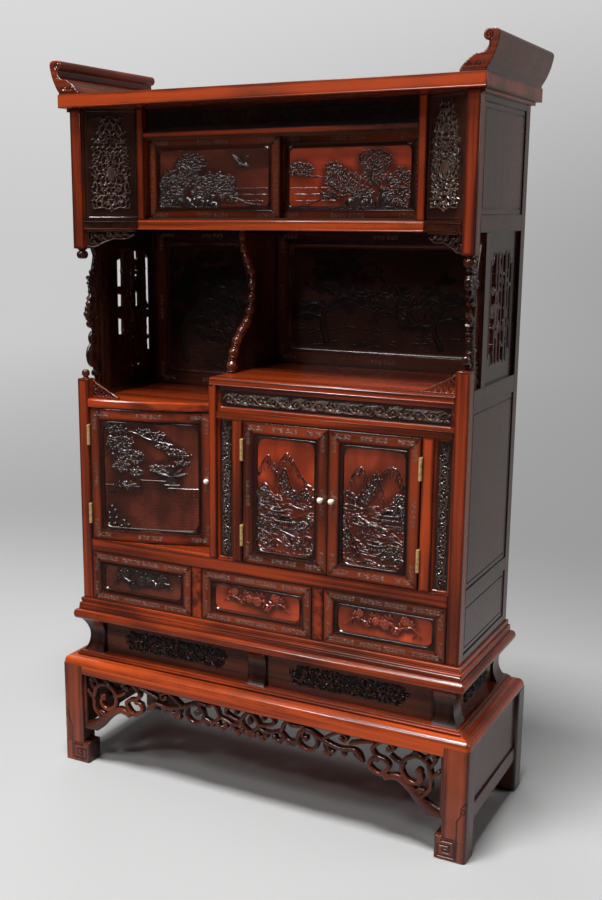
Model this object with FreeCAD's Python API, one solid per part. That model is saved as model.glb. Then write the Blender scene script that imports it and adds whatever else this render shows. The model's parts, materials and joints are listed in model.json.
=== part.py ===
import FreeCAD, Part
import math
import os

from FreeCAD import Vector

# A carved hardwood shelf cabinet on a low stand, in millimetres.
# X runs to the right, Y to the back and Z up; the origin is on the floor under the middle.

# Case and stand
case_width = 1000.0
case_depth = 354.0
post_size = 30.0
stand_side_overhang = 45.0
stand_front_overhang = 38.0

# Heights, from the floor up
stand_height = 287.0
top_bead_height = 4.0
waist_height = 95.0
torus_height = 26.0
step_height = 29.0
drawer_row_height = 129.0
drawer_rail_height = 30.0
left_cupboard_height = 336.0
left_shelf_thickness = 22.0
door_zone_height = 340.0
frieze_rail_height = 17.0
frieze_height = 58.0
right_shelf_thickness = 19.0
bay_height = 332.0
upper_floor_thickness = 23.0
slider_zone_height = 189.0
transom_height = 12.0
upper_frieze_height = 55.0
slab_thickness = 30.0
scroll_height = 77.0

# Layout across the front
right_cabinet_width = 625.0
partition_post_width = 20.0
pilaster_width = 43.0
door_stile_width = 25.0
divider_width = 28.0
bow_setback = 98.0
bow_rise = 15.0
left_door_stop_width = 38.0
cant_run = 108.0
cant_setback = 71.0
cant_start = 3.0
track_setback = 16.0
slide_stile_width = 18.4
slider_overlap = 18.0

# Boards, frames and clearances
board = 12.0
panel_recess = 4.0
front_frame_depth = 24.0
carving_recess = 8.0
carving_thickness = 10.0
door_thickness = 20.0
door_frame_width = 26.0
door_panel_recess = 7.0
drawer_frame_width = 24.0
drawer_side = 10.0
drawer_bottom = 6.0
slider_thickness = 14.0
slider_frame_width = 22.0
slider_panel_recess = 4.0
slider_panel_thickness = 6.0
track_height = 5.0
track_wall = 5.0
door_gap = 2.0
meeting_gap = 1.0
drawer_gap = 1.5
running_gap = 0.5
post_clearance = 1.0

# Stand
leg_width = 58.0
leg_depth = 50.0
foot_height = 55.0
foot_reach = 16.0
top_frame_height = 20.0
top_frame_width = 50.0
top_bead_inset = 28.0
top_edge_radius = 12.0
apron_rail_height = 22.0
apron_rail_depth = 35.0
apron_setback = 8.0
apron_thickness = 16.0
apron_depth_middle = 66.0
apron_depth_ends = 150.0
apron_bracket_run = 159.0
stretcher_height = 38.0
stretcher_bottom = 84.0
stretcher_thickness = 30.0
stand_panel_recess = 8.0

# Waist and base mouldings
waist_post_width = 65.0
waist_middle_width = 48.0
waist_flare = 8.0
waist_hollow = 18.0
waist_panel_recess = 14.0
waist_panel_thickness = 10.0
torus_overhang = 22.0
torus_width = 60.0
step_overhang = 10.0
step_upper_inset = 5.0
step_lower_height = 16.0
step_width = 50.0
case_floor_thickness = 17.0

# Side frames and back
side_bottom_rail = 19.0
side_middle_rail_drop = 5.0
side_middle_rail_rise = 7.0
bay_rail_drop = 32.0
bay_rail_rise = 9.0
upper_side_rail = 36.0
top_side_rail = 22.0
bay_stile_setback = 75.0
bay_stile_width = 28.0
back_inset = 22.0
back_panel_thickness = 10.0
back_frame_thickness = 16.0
back_frame_width = 36.0
bay_panel_thickness = 14.0

# Posts, turnings and carved trim
left_post_rise = 48.0
right_post_rise = 52.0
upper_post_drop = 45.0
pendant_length = 24.0
pendant_radius = 14.0
pendant_neck = 6.0
finial_height = 21.0
finial_radius = 10.0
finial_neck = 4.0
bracket_thickness = 18.0
bracket_reach = 78.0
bracket_waist = 27.0
spandrel_thickness = 8.0
upper_spandrel_run = 118.0
upper_spandrel_drop = 43.0
shelf_spandrel_run = 78.0
shelf_spandrel_rise = 46.0
corner_spandrel_run = 33.0
corner_spandrel_rise = 36.0
shelf_nosing = 4.0
divider_radius = 9.5
divider_thickness = 12.0
divider_toe_setback = 92.0
divider_knee_setback = 184.0
divider_belly_setback = 200.0
divider_head_setback = 146.0

# Top
slab_side_overhang = 17.0
slab_front_overhang = 22.0
slab_back_overhang = 28.0
cornice_size = 8.0
scroll_foot = 5.0
scroll_setback = 2.0
scroll_toe = 55.0
scroll_flare = 24.0
scroll_curl_radius = 11.0

# Hinges and knobs
hinge_height = 50.0
hinge_edge_distance = 66.0
knuckle_radius = 4.0
pin_radius = 1.6
pin_clearance = 0.05
leaf_thickness = 1.4
leaf_depth = 16.0
leaf_gap = 0.6
knuckle_gap = 0.4
knob_radius = 6.5
knob_neck_radius = 3.0
knob_stand_off = 6.0
knob_height = 178.0

# Places that follow from the sizes above
half_width = case_width / 2
front = -case_depth / 2
back = case_depth / 2
inner = half_width - post_size
front_inner = front + post_size
back_inner = back - post_size
back_face = back - back_inset - back_panel_thickness
back_end = back - back_inset
partition = half_width - right_cabinet_width
partition_right = partition + partition_post_width

stand_half_x = half_width + stand_side_overhang
stand_half_y = case_depth / 2 + stand_front_overhang
leg_top = stand_height - top_frame_height
z_waist = stand_height + top_bead_height
z_torus = z_waist + waist_height
z_step = z_torus + torus_height
z_case = z_step + step_height
z_rail = z_case + drawer_row_height
z_cupboard = z_rail + drawer_rail_height
z_left_shelf = z_cupboard + left_cupboard_height
z_left_bay = z_left_shelf + left_shelf_thickness
z_frieze_rail = z_cupboard + door_zone_height
z_frieze = z_frieze_rail + frieze_rail_height
z_right_shelf = z_frieze + frieze_height
z_right_bay = z_right_shelf + right_shelf_thickness
z_upper = z_right_bay + bay_height
z_slide = z_upper + upper_floor_thickness
z_transom = z_slide + slider_zone_height
z_upper_frieze = z_transom + transom_height
z_slab = z_upper_frieze + upper_frieze_height
z_top = z_slab + slab_thickness

door_left = partition_right + pilaster_width + door_stile_width
door_right = inner - pilaster_width - door_stile_width
door_middle = (door_left + door_right) / 2
leaf_room = leaf_gap / 2 + leaf_thickness

cant_end = inner - cant_run
slide_inner = cant_end - slide_stile_width
recess_front = front + cant_start + cant_setback
track_front = recess_front + track_setback
front_slider = track_front + track_wall + running_gap
rear_slider = front_slider + slider_thickness + track_wall + 2 * running_gap
track_back = rear_slider + slider_thickness + running_gap + track_wall


def plan(u, v):
    return Vector(u, v, 0)


def elevation(u, v):
    return Vector(u, 0, v)


def profile(u, v):
    return Vector(0, u, v)


normals = {plan: Vector(0, 0, 1), elevation: Vector(0, 1, 0), profile: Vector(1, 0, 0)}


def flat_wire(view, start, *steps):
    """Closed outline: each step is a corner (u, v) or an arc ((middle), (end))."""
    edges = []
    here = start
    for step in steps + (start,):
        if isinstance(step[0], tuple):
            middle, end = step
            edges.append(Part.Arc(view(*here), view(*middle), view(*end)).toShape())
        else:
            end = step
            edges.append(Part.LineSegment(view(*here), view(*end)).toShape())
        here = end
    return Part.Wire(edges)


def prism(view, low, high, start, *steps):
    """Solid from an outline, raised along the view's own direction from low to high."""
    face = Part.Face(flat_wire(view, start, *steps))
    face.translate(normals[view] * low)
    return face.extrude(normals[view] * (high - low))


def block(xs, ys, zs):
    (x0, x1), (y0, y1), (z0, z1) = sorted(xs), sorted(ys), sorted(zs)
    return Part.makeBox(x1 - x0, y1 - y0, z1 - z0, Vector(x0, y0, z0))


def mirrored(shape):
    return shape.mirror(Vector(0, 0, 0), Vector(1, 0, 0))


def mirrored_back(shape):
    return shape.mirror(Vector(0, 0, 0), Vector(0, 1, 0))


def both_sides(shape):
    return [mirrored(shape), shape]


def mitred_ring(half_x, half_y, width, z_low, z_high, section):
    """Four lengths of one moulding, mitred at the corners; the section is (inset, z)."""
    pieces = []
    for quarter in range(4):
        length, reach = (half_x, half_y) if quarter % 2 == 0 else (half_y, half_x)

        def across(inset, z, reach=reach):
            return Vector(0, inset - reach, z)

        normals[across] = normals[profile]
        bar = prism(across, -length, length, *section)
        mitre = prism(
            plan, z_low, z_high,
            (-length, -reach), (length, -reach),
            (length - width, width - reach), (width - length, width - reach))
        piece = bar.common(mitre).Solids[0]
        piece.rotate(Vector(0, 0, 0), Vector(0, 0, 1), 90 * quarter)
        pieces.append(piece)
    return pieces


def mitred_frame(x0, x1, z0, z1, width, y0, y1):
    """Flat front frame of two stiles and two rails with mitred corners."""
    a, b, c, d = x0 + width, x1 - width, z0 + width, z1 - width
    return [
        prism(elevation, y0, y1, (x0, z0), (a, c), (a, d), (x0, z1)),
        prism(elevation, y0, y1, (x1, z0), (x1, z1), (b, d), (b, c)),
        prism(elevation, y0, y1, (x0, z0), (x1, z0), (b, c), (a, c)),
        prism(elevation, y0, y1, (x0, z1), (a, d), (b, d), (x1, z1))]


def turned(start, *steps):
    """Solid turned about the Z axis from a half outline in (radius, z)."""
    face = Part.Face(flat_wire(elevation, start, *steps))
    return face.revolve(Vector(0, 0, 0), Vector(0, 0, 1), 360)


def ball_on_neck(neck, radius, height):
    """Turned ball on a straight neck; its top is at that height above the seat."""
    middle = height - radius
    join = middle - math.sqrt(radius ** 2 - neck ** 2)
    return turned((0, 0), (neck, 0), (neck, join), ((radius, middle), (0, height)))


def save(name, *solids):
    shape = solids[0] if len(solids) == 1 else Part.makeCompound(list(solids))
    shape.exportStep(os.path.join("parts", name + ".step"))


os.makedirs("parts", exist_ok=True)


# Stand: four legs with inturned feet
leg_inner = stand_half_x - leg_width
foot_inner = leg_inner - foot_reach
leg = prism(
    elevation, -stand_half_y, leg_depth - stand_half_y,
    (stand_half_x, 0), (stand_half_x, leg_top), (leg_inner, leg_top),
    (leg_inner, foot_height), (foot_inner, foot_height), (foot_inner, 0))
front_legs = both_sides(leg)
save("stand_legs", *front_legs, *[mirrored_back(one) for one in front_legs])

# Stand: mitred top frame with a rounded outer edge and a raised inner bead, and its board
edge_knee = top_edge_radius * (1 - math.sqrt(0.5))
frame_section = (
    (0, leg_top), (0, stand_height - top_edge_radius),
    ((edge_knee, stand_height - edge_knee), (top_edge_radius, stand_height)),
    (top_bead_inset, stand_height), (top_bead_inset, z_waist),
    (top_frame_width, z_waist), (top_frame_width, leg_top))
stand_frame = mitred_ring(stand_half_x, stand_half_y, top_frame_width, leg_top, z_waist, frame_section)
board_x = stand_half_x - top_frame_width
board_y = stand_half_y - top_frame_width
stand_board = block((-board_x, board_x), (-board_y, board_y), (leg_top, z_waist))
save("stand_top", *stand_frame, stand_board)

# Stand: rails under the top frame at front and back, low stretchers at the sides
apron_top = leg_top - apron_rail_height
front_rail = block(
    (-leg_inner, leg_inner), (-stand_half_y, apron_rail_depth - stand_half_y), (apron_top, leg_top))
stretcher_half = stand_half_y - leg_depth
stretcher_outer = stand_half_x - stand_panel_recess / 2
stretcher = block(
    (stretcher_outer - stretcher_thickness, stretcher_outer), (-stretcher_half, stretcher_half),
    (stretcher_bottom, stretcher_bottom + stretcher_height))
save("stand_rails", front_rail, mirrored_back(front_rail), *both_sides(stretcher))

# Stand: scrolled apron, deep at the legs and shallow in the middle
apron_y = apron_setback - stand_half_y
apron_low = apron_top - apron_depth_ends
apron_mid = apron_top - apron_depth_middle
bracket_in = leg_inner - apron_bracket_run
bracket_knee = (leg_inner - 0.42 * apron_bracket_run, apron_top - 0.62 * apron_depth_ends)
apron = prism(
    elevation, apron_y, apron_y + apron_thickness,
    (-leg_inner, apron_top), (-leg_inner, apron_low),
    ((-bracket_knee[0], bracket_knee[1]), (-bracket_in, apron_mid)),
    (bracket_in, apron_mid),
    (bracket_knee, (leg_inner, apron_low)), (leg_inner, apron_top))
save("stand_apron", apron)

# Stand: side panels between the legs, above the stretchers
panel_outer = stand_half_x - stand_panel_recess
stand_panel = block(
    (panel_outer - board, panel_outer), (-stretcher_half, stretcher_half),
    (stretcher_bottom + stretcher_height, leg_top))
save("stand_side_panels", *both_sides(stand_panel))

# Waist: hollowed corner posts and middle posts
waist_x = half_width + waist_flare
waist_y = case_depth / 2 + waist_flare
waist_mid = (z_waist + z_torus) / 2


def hollowed(view, low, high, outer, inside):
    return prism(
        view, low, high, (inside, z_waist), (outer, z_waist),
        ((outer - waist_hollow, waist_mid), (outer, z_torus)), (inside, z_torus))


corner_x = waist_x - waist_post_width
corner_y = waist_y - waist_post_width
corner = hollowed(elevation, corner_y, waist_y, waist_x, corner_x).common(
    hollowed(profile, corner_x, waist_x, waist_y, corner_y)).Solids[0]
back_corners = both_sides(corner)
middle_half = waist_middle_width / 2
back_middle = hollowed(profile, -middle_half, middle_half, waist_y, corner_y)
save("waist_posts", *back_corners, *[mirrored_back(one) for one in back_corners],
     back_middle, mirrored_back(back_middle))

# Waist: boards set back between the posts, carrying the frets
waist_board_y = case_depth / 2 - waist_panel_recess
waist_board_x = half_width - waist_panel_recess
back_board = block(
    (middle_half, corner_x), (waist_board_y - waist_panel_thickness, waist_board_y), (z_waist, z_torus))
side_board = block(
    (waist_board_x - waist_panel_thickness, waist_board_x), (-corner_y, corner_y), (z_waist, z_torus))
back_boards = both_sides(back_board)
save("waist_panels", *back_boards, *[mirrored_back(one) for one in back_boards], *both_sides(side_board))

# Base: half-round torus moulding under two square fillets, each mitred at the corners
torus_radius = torus_height / 2
torus_section = (
    (torus_radius, z_torus), ((0, z_torus + torus_radius), (torus_radius, z_step)),
    (torus_width, z_step), (torus_width, z_torus))
torus_x = half_width + torus_overhang
torus_y = case_depth / 2 + torus_overhang
save("torus_moulding", *mitred_ring(torus_x, torus_y, torus_width, z_torus, z_step, torus_section))

step_break = z_step + step_lower_height
step_section = (
    (0, z_step), (0, step_break), (step_upper_inset, step_break), (step_upper_inset, z_case),
    (step_width, z_case), (step_width, z_step))
step_x = half_width + step_overhang
step_y = case_depth / 2 + step_overhang
save("step_moulding", *mitred_ring(step_x, step_y, step_width, z_step, z_case, step_section))

# Case floor inside the step moulding
floor_x = step_x - step_width
floor_y = step_y - step_width
save("case_floor", block((-floor_x, floor_x), (-floor_y, floor_y), (z_case - case_floor_thickness, z_case)))


# Posts: short front posts below and above the open bays, full back posts
def front_post(sign, z0, z1):
    return block((sign * inner, sign * half_width), (front, front_inner), (z0, z1))


left_post_top = z_left_bay + left_post_rise
right_post_top = z_right_bay + right_post_rise
upper_post_bottom = z_upper - upper_post_drop
save("front_posts",
     front_post(-1, z_case, left_post_top), front_post(1, z_case, right_post_top),
     front_post(-1, upper_post_bottom, z_slab), front_post(1, upper_post_bottom, z_slab))
back_post = block((inner, half_width), (back_inner, back), (z_case, z_slab))
save("back_posts", *both_sides(back_post))

# Turnings: a bun under each upper post and a ball on the left lower post
post_x = (inner + half_width) / 2
post_y = (front + front_inner) / 2
bun_low = -pendant_length
bun_high = -pendant_length / 3
bun_mid = (bun_low + bun_high) / 2
pendant = turned(
    (0, 0), (pendant_neck, 0), (pendant_neck, bun_high),
    ((pendant_radius, bun_mid), (pendant_neck, bun_low)), (0, bun_low))
pendant.translate(Vector(post_x, post_y, upper_post_bottom))
finial = ball_on_neck(finial_neck, finial_radius, finial_height)
finial.translate(Vector(-post_x, post_y, left_post_top))
save("post_turnings", *both_sides(pendant), finial)

# Drawer frame: two dividers, the rail over the drawers and the dust board behind it
drawer_width = (2 * inner - 2 * divider_width) / 3
drawer_lefts = [-inner + index * (drawer_width + divider_width) for index in range(3)]
drawer_dividers = [
    block((left - divider_width, left), (front, back_face), (z_case, z_rail)) for left in drawer_lefts[1:]]
drawer_rail = block((-inner, inner), (front, front_inner), (z_rail, z_cupboard))
dust_board = block((-inner, inner), (front_inner, back_face), (z_cupboard - board, z_cupboard))
save("drawer_frame", *drawer_dividers, drawer_rail, dust_board)

# Side frames: rails between the posts, and panels set a little back from them
side_rails = []
side_panels = []
for sign, bay_floor in ((-1, z_left_bay), (1, z_right_bay)):
    middle_low = z_rail + side_middle_rail_drop
    middle_high = z_cupboard + side_middle_rail_rise
    bay_low = bay_floor - bay_rail_drop
    bay_high = bay_floor + bay_rail_rise
    rail_spans = (
        (z_case, z_case + side_bottom_rail), (middle_low, middle_high), (bay_low, bay_high),
        (z_upper, z_upper + upper_side_rail), (z_slab - top_side_rail, z_slab))
    for span in rail_spans:
        side_rails.append(block((sign * inner, sign * half_width), (front_inner, back_inner), span))
    panel_face = half_width - panel_recess
    panel_spans = (
        (z_case + side_bottom_rail, middle_low), (middle_high, bay_low),
        (z_upper + upper_side_rail, z_slab - top_side_rail))
    for span in panel_spans:
        side_panels.append(
            block((sign * (panel_face - board), sign * panel_face), (front_inner, back_inner), span))
save("side_rails", *side_rails)
save("side_panels", *side_panels)

# Bowed front of the left cupboard: an arc from the left post back to the partition
chord_x = partition + inner
chord = math.hypot(chord_x, bow_setback)
bow_radius = chord ** 2 / (8 * bow_rise) + bow_rise / 2
bow_reach = bow_radius - bow_rise
bow_centre_x = (partition - inner) / 2 - bow_reach * bow_setback / chord
bow_centre_y = front + bow_setback / 2 + bow_reach * chord_x / chord


def bow_angle(x):
    return math.asin((x - bow_centre_x) / bow_radius)


def bow_point(angle, inset):
    reach = bow_radius - inset
    return (bow_centre_x + reach * math.sin(angle), bow_centre_y - reach * math.cos(angle))


def bow_board(start, end, near, far, z0, z1):
    """Curved board between two angles of the bow and two insets from its front."""
    middle = (start + end) / 2
    return prism(
        plan, z0, z1, bow_point(start, near),
        (bow_point(middle, near), bow_point(end, near)), bow_point(end, far),
        (bow_point(middle, far), bow_point(start, far)))


# Shelves over the cupboards
nose_start = bow_point(bow_angle(-inner), -shelf_nosing)[1]
nose_middle = bow_point(bow_angle((partition - inner) / 2), -shelf_nosing)
nose_end = bow_point(bow_angle(partition), -shelf_nosing)[1]
left_shelf = prism(
    plan, z_left_shelf, z_left_bay, (-inner, nose_start), (nose_middle, (partition, nose_end)),
    (partition, back_face), (-inner, back_face))
save("left_shelf", left_shelf)
save("right_shelf", block((partition, inner), (front, back_face), (z_right_shelf, z_right_bay)))

# Partition between the cupboards: a front post and the board behind it
partition_post = block((partition, partition_right), (front, front_inner), (z_cupboard, z_right_shelf))
partition_board = block((partition, partition + board), (front_inner, back_face), (z_cupboard, z_right_shelf))
save("centre_partition", partition_post, partition_board)

# Frame round the pair of doors, and the stop for the bowed door's free edge
frame_back = front + front_frame_depth
frieze_rail = block((partition_right, inner), (front, frame_back), (z_frieze_rail, z_frieze))
door_zone = (z_cupboard, z_frieze_rail)
left_stile = block((door_left - door_stile_width, door_left), (front, frame_back), door_zone)
right_stile = block((door_right, door_right + door_stile_width), (front, frame_back), door_zone)
stop_angle = bow_angle(partition - left_door_stop_width)
stop_limit = block((-inner, partition), (front, back), (z_cupboard, z_left_shelf))
door_stop = bow_board(
    stop_angle, bow_angle(partition + board), 0, door_thickness, z_cupboard, z_left_shelf).common(stop_limit)
save("door_surround", frieze_rail, left_stile, right_stile, door_stop.Solids[0])

# Carved strips: the frieze over the doors, a pilaster at each side and the frieze over the sliding doors
carving_y = (front + carving_recess, front + carving_recess + carving_thickness)
door_frieze = block((partition_right, inner), carving_y, (z_frieze, z_right_shelf))
left_pilaster = block((partition_right, partition_right + pilaster_width), carving_y, door_zone)
right_pilaster = block((inner - pilaster_width, inner), carving_y, door_zone)
upper_carving_y = (recess_front + carving_recess, recess_front + carving_recess + carving_thickness)
upper_frieze = block((-slide_inner, slide_inner), upper_carving_y, (z_upper_frieze, z_slab))
save("carved_strips", door_frieze, left_pilaster, right_pilaster, upper_frieze)

# Back: plain panels behind the cupboards and the upper cabinet
back_ys = (back_face, back_end)
save("back_panels",
     block((-inner, partition), back_ys, (z_case, z_left_bay)),
     block((partition, inner), back_ys, (z_case, z_right_bay)),
     block((-inner, inner), back_ys, (z_slide, z_slab)))

# Open bays: framed back panels, side stiles and pierced side panels
divider_right = partition + divider_thickness
frame_ys = (back_end - back_frame_thickness, back_end)
bay_frames = []
bay_back_panels = []
for x0, x1, bay_floor in ((-inner, partition, z_left_bay), (divider_right, inner, z_right_bay)):
    bay_frames += mitred_frame(x0, x1, bay_floor, z_upper, back_frame_width, *frame_ys)
    bay_back_panels.append(block(
        (x0 + back_frame_width, x1 - back_frame_width), back_ys,
        (bay_floor + back_frame_width, z_upper - back_frame_width)))
bay_side_panels = []
stile_front = front + bay_stile_setback
stile_back = stile_front + bay_stile_width
for sign, bay_floor in ((-1, z_left_bay), (1, z_right_bay)):
    span = (bay_floor + bay_rail_rise, z_upper)
    bay_frames.append(block((sign * inner, sign * half_width), (stile_front, stile_back), span))
    pierced_face = half_width - panel_recess
    bay_side_panels.append(block(
        (sign * (pierced_face - bay_panel_thickness), sign * pierced_face), (stile_back, back_inner), span))
save("bay_frames", *bay_frames)
save("bay_back_panels", *bay_back_panels)
save("bay_side_panels", *bay_side_panels)

# Carved brackets in front of the side stiles: two lobes between the lower and upper post ends
brackets = []
bracket_front = stile_front - bracket_reach
bracket_neck = stile_front - bracket_waist
bracket_end = front_inner + post_clearance
lobe_top = upper_post_bottom - pendant_length - post_clearance
for sign, bay_floor, post_end in (
        (-1, z_left_bay, left_post_top + finial_height), (1, z_right_bay, right_post_top)):
    low = bay_floor + bay_rail_rise
    lobe_bottom = post_end + post_clearance
    neck_z = (lobe_top + lobe_bottom) / 2
    outline = (
        (stile_front, low), (stile_front, z_upper), (bracket_end, z_upper), (bracket_end, lobe_top),
        ((bracket_front, (lobe_top + neck_z) / 2), (bracket_neck, neck_z)),
        ((bracket_front, (neck_z + lobe_bottom) / 2), (bracket_end, lobe_bottom)), (bracket_end, low))
    bracket_left = sign * post_x - bracket_thickness / 2
    brackets.append(prism(profile, bracket_left, bracket_left + bracket_thickness, *outline))
save("carved_brackets", *brackets)

# Pierced spandrels: under the canted rails, on the shelves beside the posts, and beside the partition
cant_angle = math.degrees(math.atan2(cant_setback, cant_run))
spandrel_clear = spandrel_thickness * math.tan(math.radians(cant_angle)) + post_clearance
canted_spandrel = prism(
    elevation, 0, spandrel_thickness,
    (spandrel_clear, z_upper), (upper_spandrel_run, z_upper), (spandrel_clear, z_upper - upper_spandrel_drop))
canted_spandrel.rotate(Vector(0, 0, 0), Vector(0, 0, 1), cant_angle)
canted_spandrel.translate(Vector(-inner, front + cant_start + spandrel_thickness, 0))
spandrel_y = front + shelf_spandrel_run * math.tan(bow_angle(-inner + shelf_spandrel_run)) + shelf_nosing
left_spandrel = prism(
    elevation, spandrel_y, spandrel_y + spandrel_thickness,
    (-inner, z_left_bay), (-inner + shelf_spandrel_run, z_left_bay),
    (-inner, z_left_bay + shelf_spandrel_rise))
right_spandrel = prism(
    elevation, front + carving_recess, front + carving_recess + spandrel_thickness,
    (inner, z_right_bay), (inner, z_right_bay + shelf_spandrel_rise),
    (inner - shelf_spandrel_run, z_right_bay))
partition_spandrel_y = front + bow_setback + shelf_nosing
corner_spandrel = prism(
    elevation, partition_spandrel_y, partition_spandrel_y + spandrel_thickness,
    (partition, z_left_bay), (partition, z_left_bay + corner_spandrel_rise),
    (partition - corner_spandrel_run, z_left_bay))
save("spandrels", canted_spandrel, mirrored(canted_spandrel), left_spandrel, right_spandrel, corner_spandrel)


# Divider between the bays: a board with a bamboo-turned rod along its S-shaped front edge
def rounded_path(corners):
    """Path in profile (y, z) whose corners are rounded by tangent arcs, as large as the runs allow."""
    points = [Vector(0, *corner) for corner in corners]
    edges = []
    here = points[0]
    last = len(points) - 2
    for index in range(1, last + 1):
        point = points[index]
        into = points[index - 1] - point
        out = points[index + 1] - point
        room_in = into.Length if index == 1 else into.Length / 2
        room_out = out.Length if index == last else out.Length / 2
        reach = 0.95 * min(room_in, room_out)
        into.normalize()
        out.normalize()
        half = into.getAngle(out) / 2
        radius = reach * math.tan(half)
        middle = point + (into + out).normalize() * (radius / math.sin(half) - radius)
        edges.append(Part.LineSegment(here, point + into * reach).toShape())
        edges.append(Part.Arc(point + into * reach, middle, point + out * reach).toShape())
        here = point + out * reach
    edges.append(Part.LineSegment(here, points[-1]).toShape())
    return edges


def bay_point(setback, share):
    return (front + setback, z_right_bay + share * bay_height)


edge_corners = (
    bay_point(divider_toe_setback, 0), bay_point(divider_toe_setback, 0.15),
    bay_point(divider_knee_setback, 0.36), bay_point(divider_belly_setback, 0.58),
    bay_point(divider_head_setback, 0.88), bay_point(divider_head_setback, 1))
edge_path = rounded_path(edge_corners)
rod_start = Vector(0, *edge_corners[0])
rod_circle = Part.Wire(Part.makeCircle(divider_radius, rod_start, Vector(0, 0, 1)))
rod = Part.Wire(edge_path).makePipeShell([rod_circle], True, False)
rod.translate(Vector(partition_right - divider_radius, 0, 0))
edge_end = Vector(0, *edge_corners[-1])
top_back = Vector(0, back_end - back_frame_thickness, z_upper)
low_back = Vector(0, back_end - back_frame_thickness, z_right_bay)
board_loop = edge_path + [
    Part.LineSegment(edge_end, top_back).toShape(), Part.LineSegment(top_back, low_back).toShape(),
    Part.LineSegment(low_back, rod_start).toShape()]
divider_board = Part.Face(Part.Wire(board_loop)).extrude(Vector(divider_thickness, 0, 0))
divider_board.translate(Vector(partition, 0, 0))
divider_tail = block(
    (partition, divider_right), (back_end - back_frame_thickness, back_end), (z_right_bay, z_upper))
save("divider_panel", max(divider_board.cut(rod).Solids, key=lambda solid: solid.Volume), divider_tail)
save("divider_edge", rod)

# Upper cabinet: floor with canted ends, and the carved panels that stand on the cants
floor_corner = (-inner, front + cant_start)
floor_knee = (-cant_end, recess_front)
end_floor = prism(plan, z_upper, z_slide, floor_corner, floor_knee, (-cant_end, back_end), (-inner, back_end))
middle_floor = block((-cant_end, cant_end), (recess_front, back_end), (z_upper, z_slide))
save("upper_floor", end_floor, mirrored(end_floor), middle_floor)
post_end_y = floor_corner[1] + carving_recess
stile_end_y = floor_knee[1] + carving_recess
canted_panel = prism(
    plan, z_slide, z_slab, (-inner, post_end_y), (-cant_end, stile_end_y),
    (-cant_end, stile_end_y + board), (-inner, post_end_y + board))
save("canted_panels", *both_sides(canted_panel))

# Upper cabinet: stiles and transom round the sliding doors, and the strips that guide them
slide_stile = block((slide_inner, cant_end), (recess_front, track_back), (z_slide, z_slab))
transom = block((-slide_inner, slide_inner), (recess_front, track_back), (z_transom, z_upper_frieze))
save("slide_surround", *both_sides(slide_stile), transom)
tracks = []
for z0, z1 in ((z_slide, z_slide + track_height), (z_transom - track_height, z_transom)):
    for wall_front in (track_front, front_slider + slider_thickness + running_gap, track_back - track_wall):
        tracks.append(block((-slide_inner, slide_inner), (wall_front, wall_front + track_wall), (z0, z1)))
save("slide_tracks", *tracks)

# Top: slab, fillets under its sides and back, and the upturned scroll ends
slab_x = half_width + slab_side_overhang
slab_ys = (front - slab_front_overhang, back + slab_back_overhang)
save("top_slab", block((-slab_x, slab_x), slab_ys, (z_slab, z_top)))
side_fillet = block(
    (half_width, half_width + cornice_size), (front, back + cornice_size), (z_slab - cornice_size, z_slab))
back_fillet = block((-half_width, half_width), (back, back + cornice_size), (z_slab - cornice_size, z_slab))
save("cornice_fillets", *both_sides(side_fillet), back_fillet)

heel = slab_x - scroll_setback
toe = heel - scroll_toe
tip = heel + scroll_flare
scroll_low = z_top + scroll_foot
scroll_high = z_top + scroll_height
curl_x = tip - 2 * scroll_curl_radius
curl_z = scroll_high - scroll_curl_radius
rise = scroll_height - scroll_foot
scroll_end = prism(
    elevation, slab_ys[0] + scroll_setback, slab_ys[1] - scroll_setback,
    (toe, z_top), (toe, scroll_low),
    ((toe + 0.32 * scroll_toe, scroll_low + 0.26 * rise), (toe + 0.62 * scroll_toe, scroll_low + 0.4 * rise)),
    ((curl_x - 0.2 * scroll_curl_radius, scroll_low + 0.52 * rise), (curl_x, curl_z - scroll_curl_radius)),
    ((curl_x - scroll_curl_radius, curl_z), (curl_x, scroll_high)),
    (tip - scroll_curl_radius, scroll_high),
    ((tip - 0.3 * scroll_curl_radius, scroll_high - 0.3 * scroll_curl_radius), (tip, curl_z)),
    ((heel + 0.62 * scroll_flare, scroll_low + 0.38 * rise), (heel, scroll_low)), (heel, z_top))
save("scroll_ends", *both_sides(scroll_end))


# Butt hinges: two outer knuckles and the pin on the frame, the middle knuckle on the door
def hinge(pivot_x, door_side, z0):
    pivot_y = front - knuckle_radius
    third = hinge_height / 3
    z1 = z0 + hinge_height
    spans = ((z0, z0 + third - knuckle_gap), (z0 + third, z1 - third), (z1 - third + knuckle_gap, z1))

    def leaf(towards, knuckles, bore):
        near = pivot_x + towards * leaf_gap / 2
        far = pivot_x + towards * leaf_room
        shape = block((near, far), (front + knuckle_gap, front + leaf_depth), (z0, z1))
        for low, high in knuckles:
            barrel = Part.makeCylinder(knuckle_radius, high - low, Vector(pivot_x, pivot_y, low))
            tongue = block((near, far), (pivot_y, front + knuckle_gap), (low, high))
            shape = shape.fuse(barrel).fuse(tongue)
        hole = Part.makeCylinder(bore, hinge_height, Vector(pivot_x, pivot_y, z0))
        return shape.cut(hole).removeSplitter().Solids[0]

    pin = Part.makeCylinder(pin_radius, hinge_height, Vector(pivot_x, pivot_y, z0))
    fixed = leaf(-door_side, (spans[0], spans[2]), pin_radius)
    moving = leaf(door_side, (spans[1],), pin_radius + pin_clearance)
    return fixed, pin, moving


def hinge_pair(pivot_x, door_side, z_low, z_high):
    lower = hinge(pivot_x, door_side, z_low + hinge_edge_distance - hinge_height / 2)
    upper = hinge(pivot_x, door_side, z_high - hinge_edge_distance - hinge_height / 2)
    return list(lower[:2] + upper[:2]), [lower[2], upper[2]]


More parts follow.
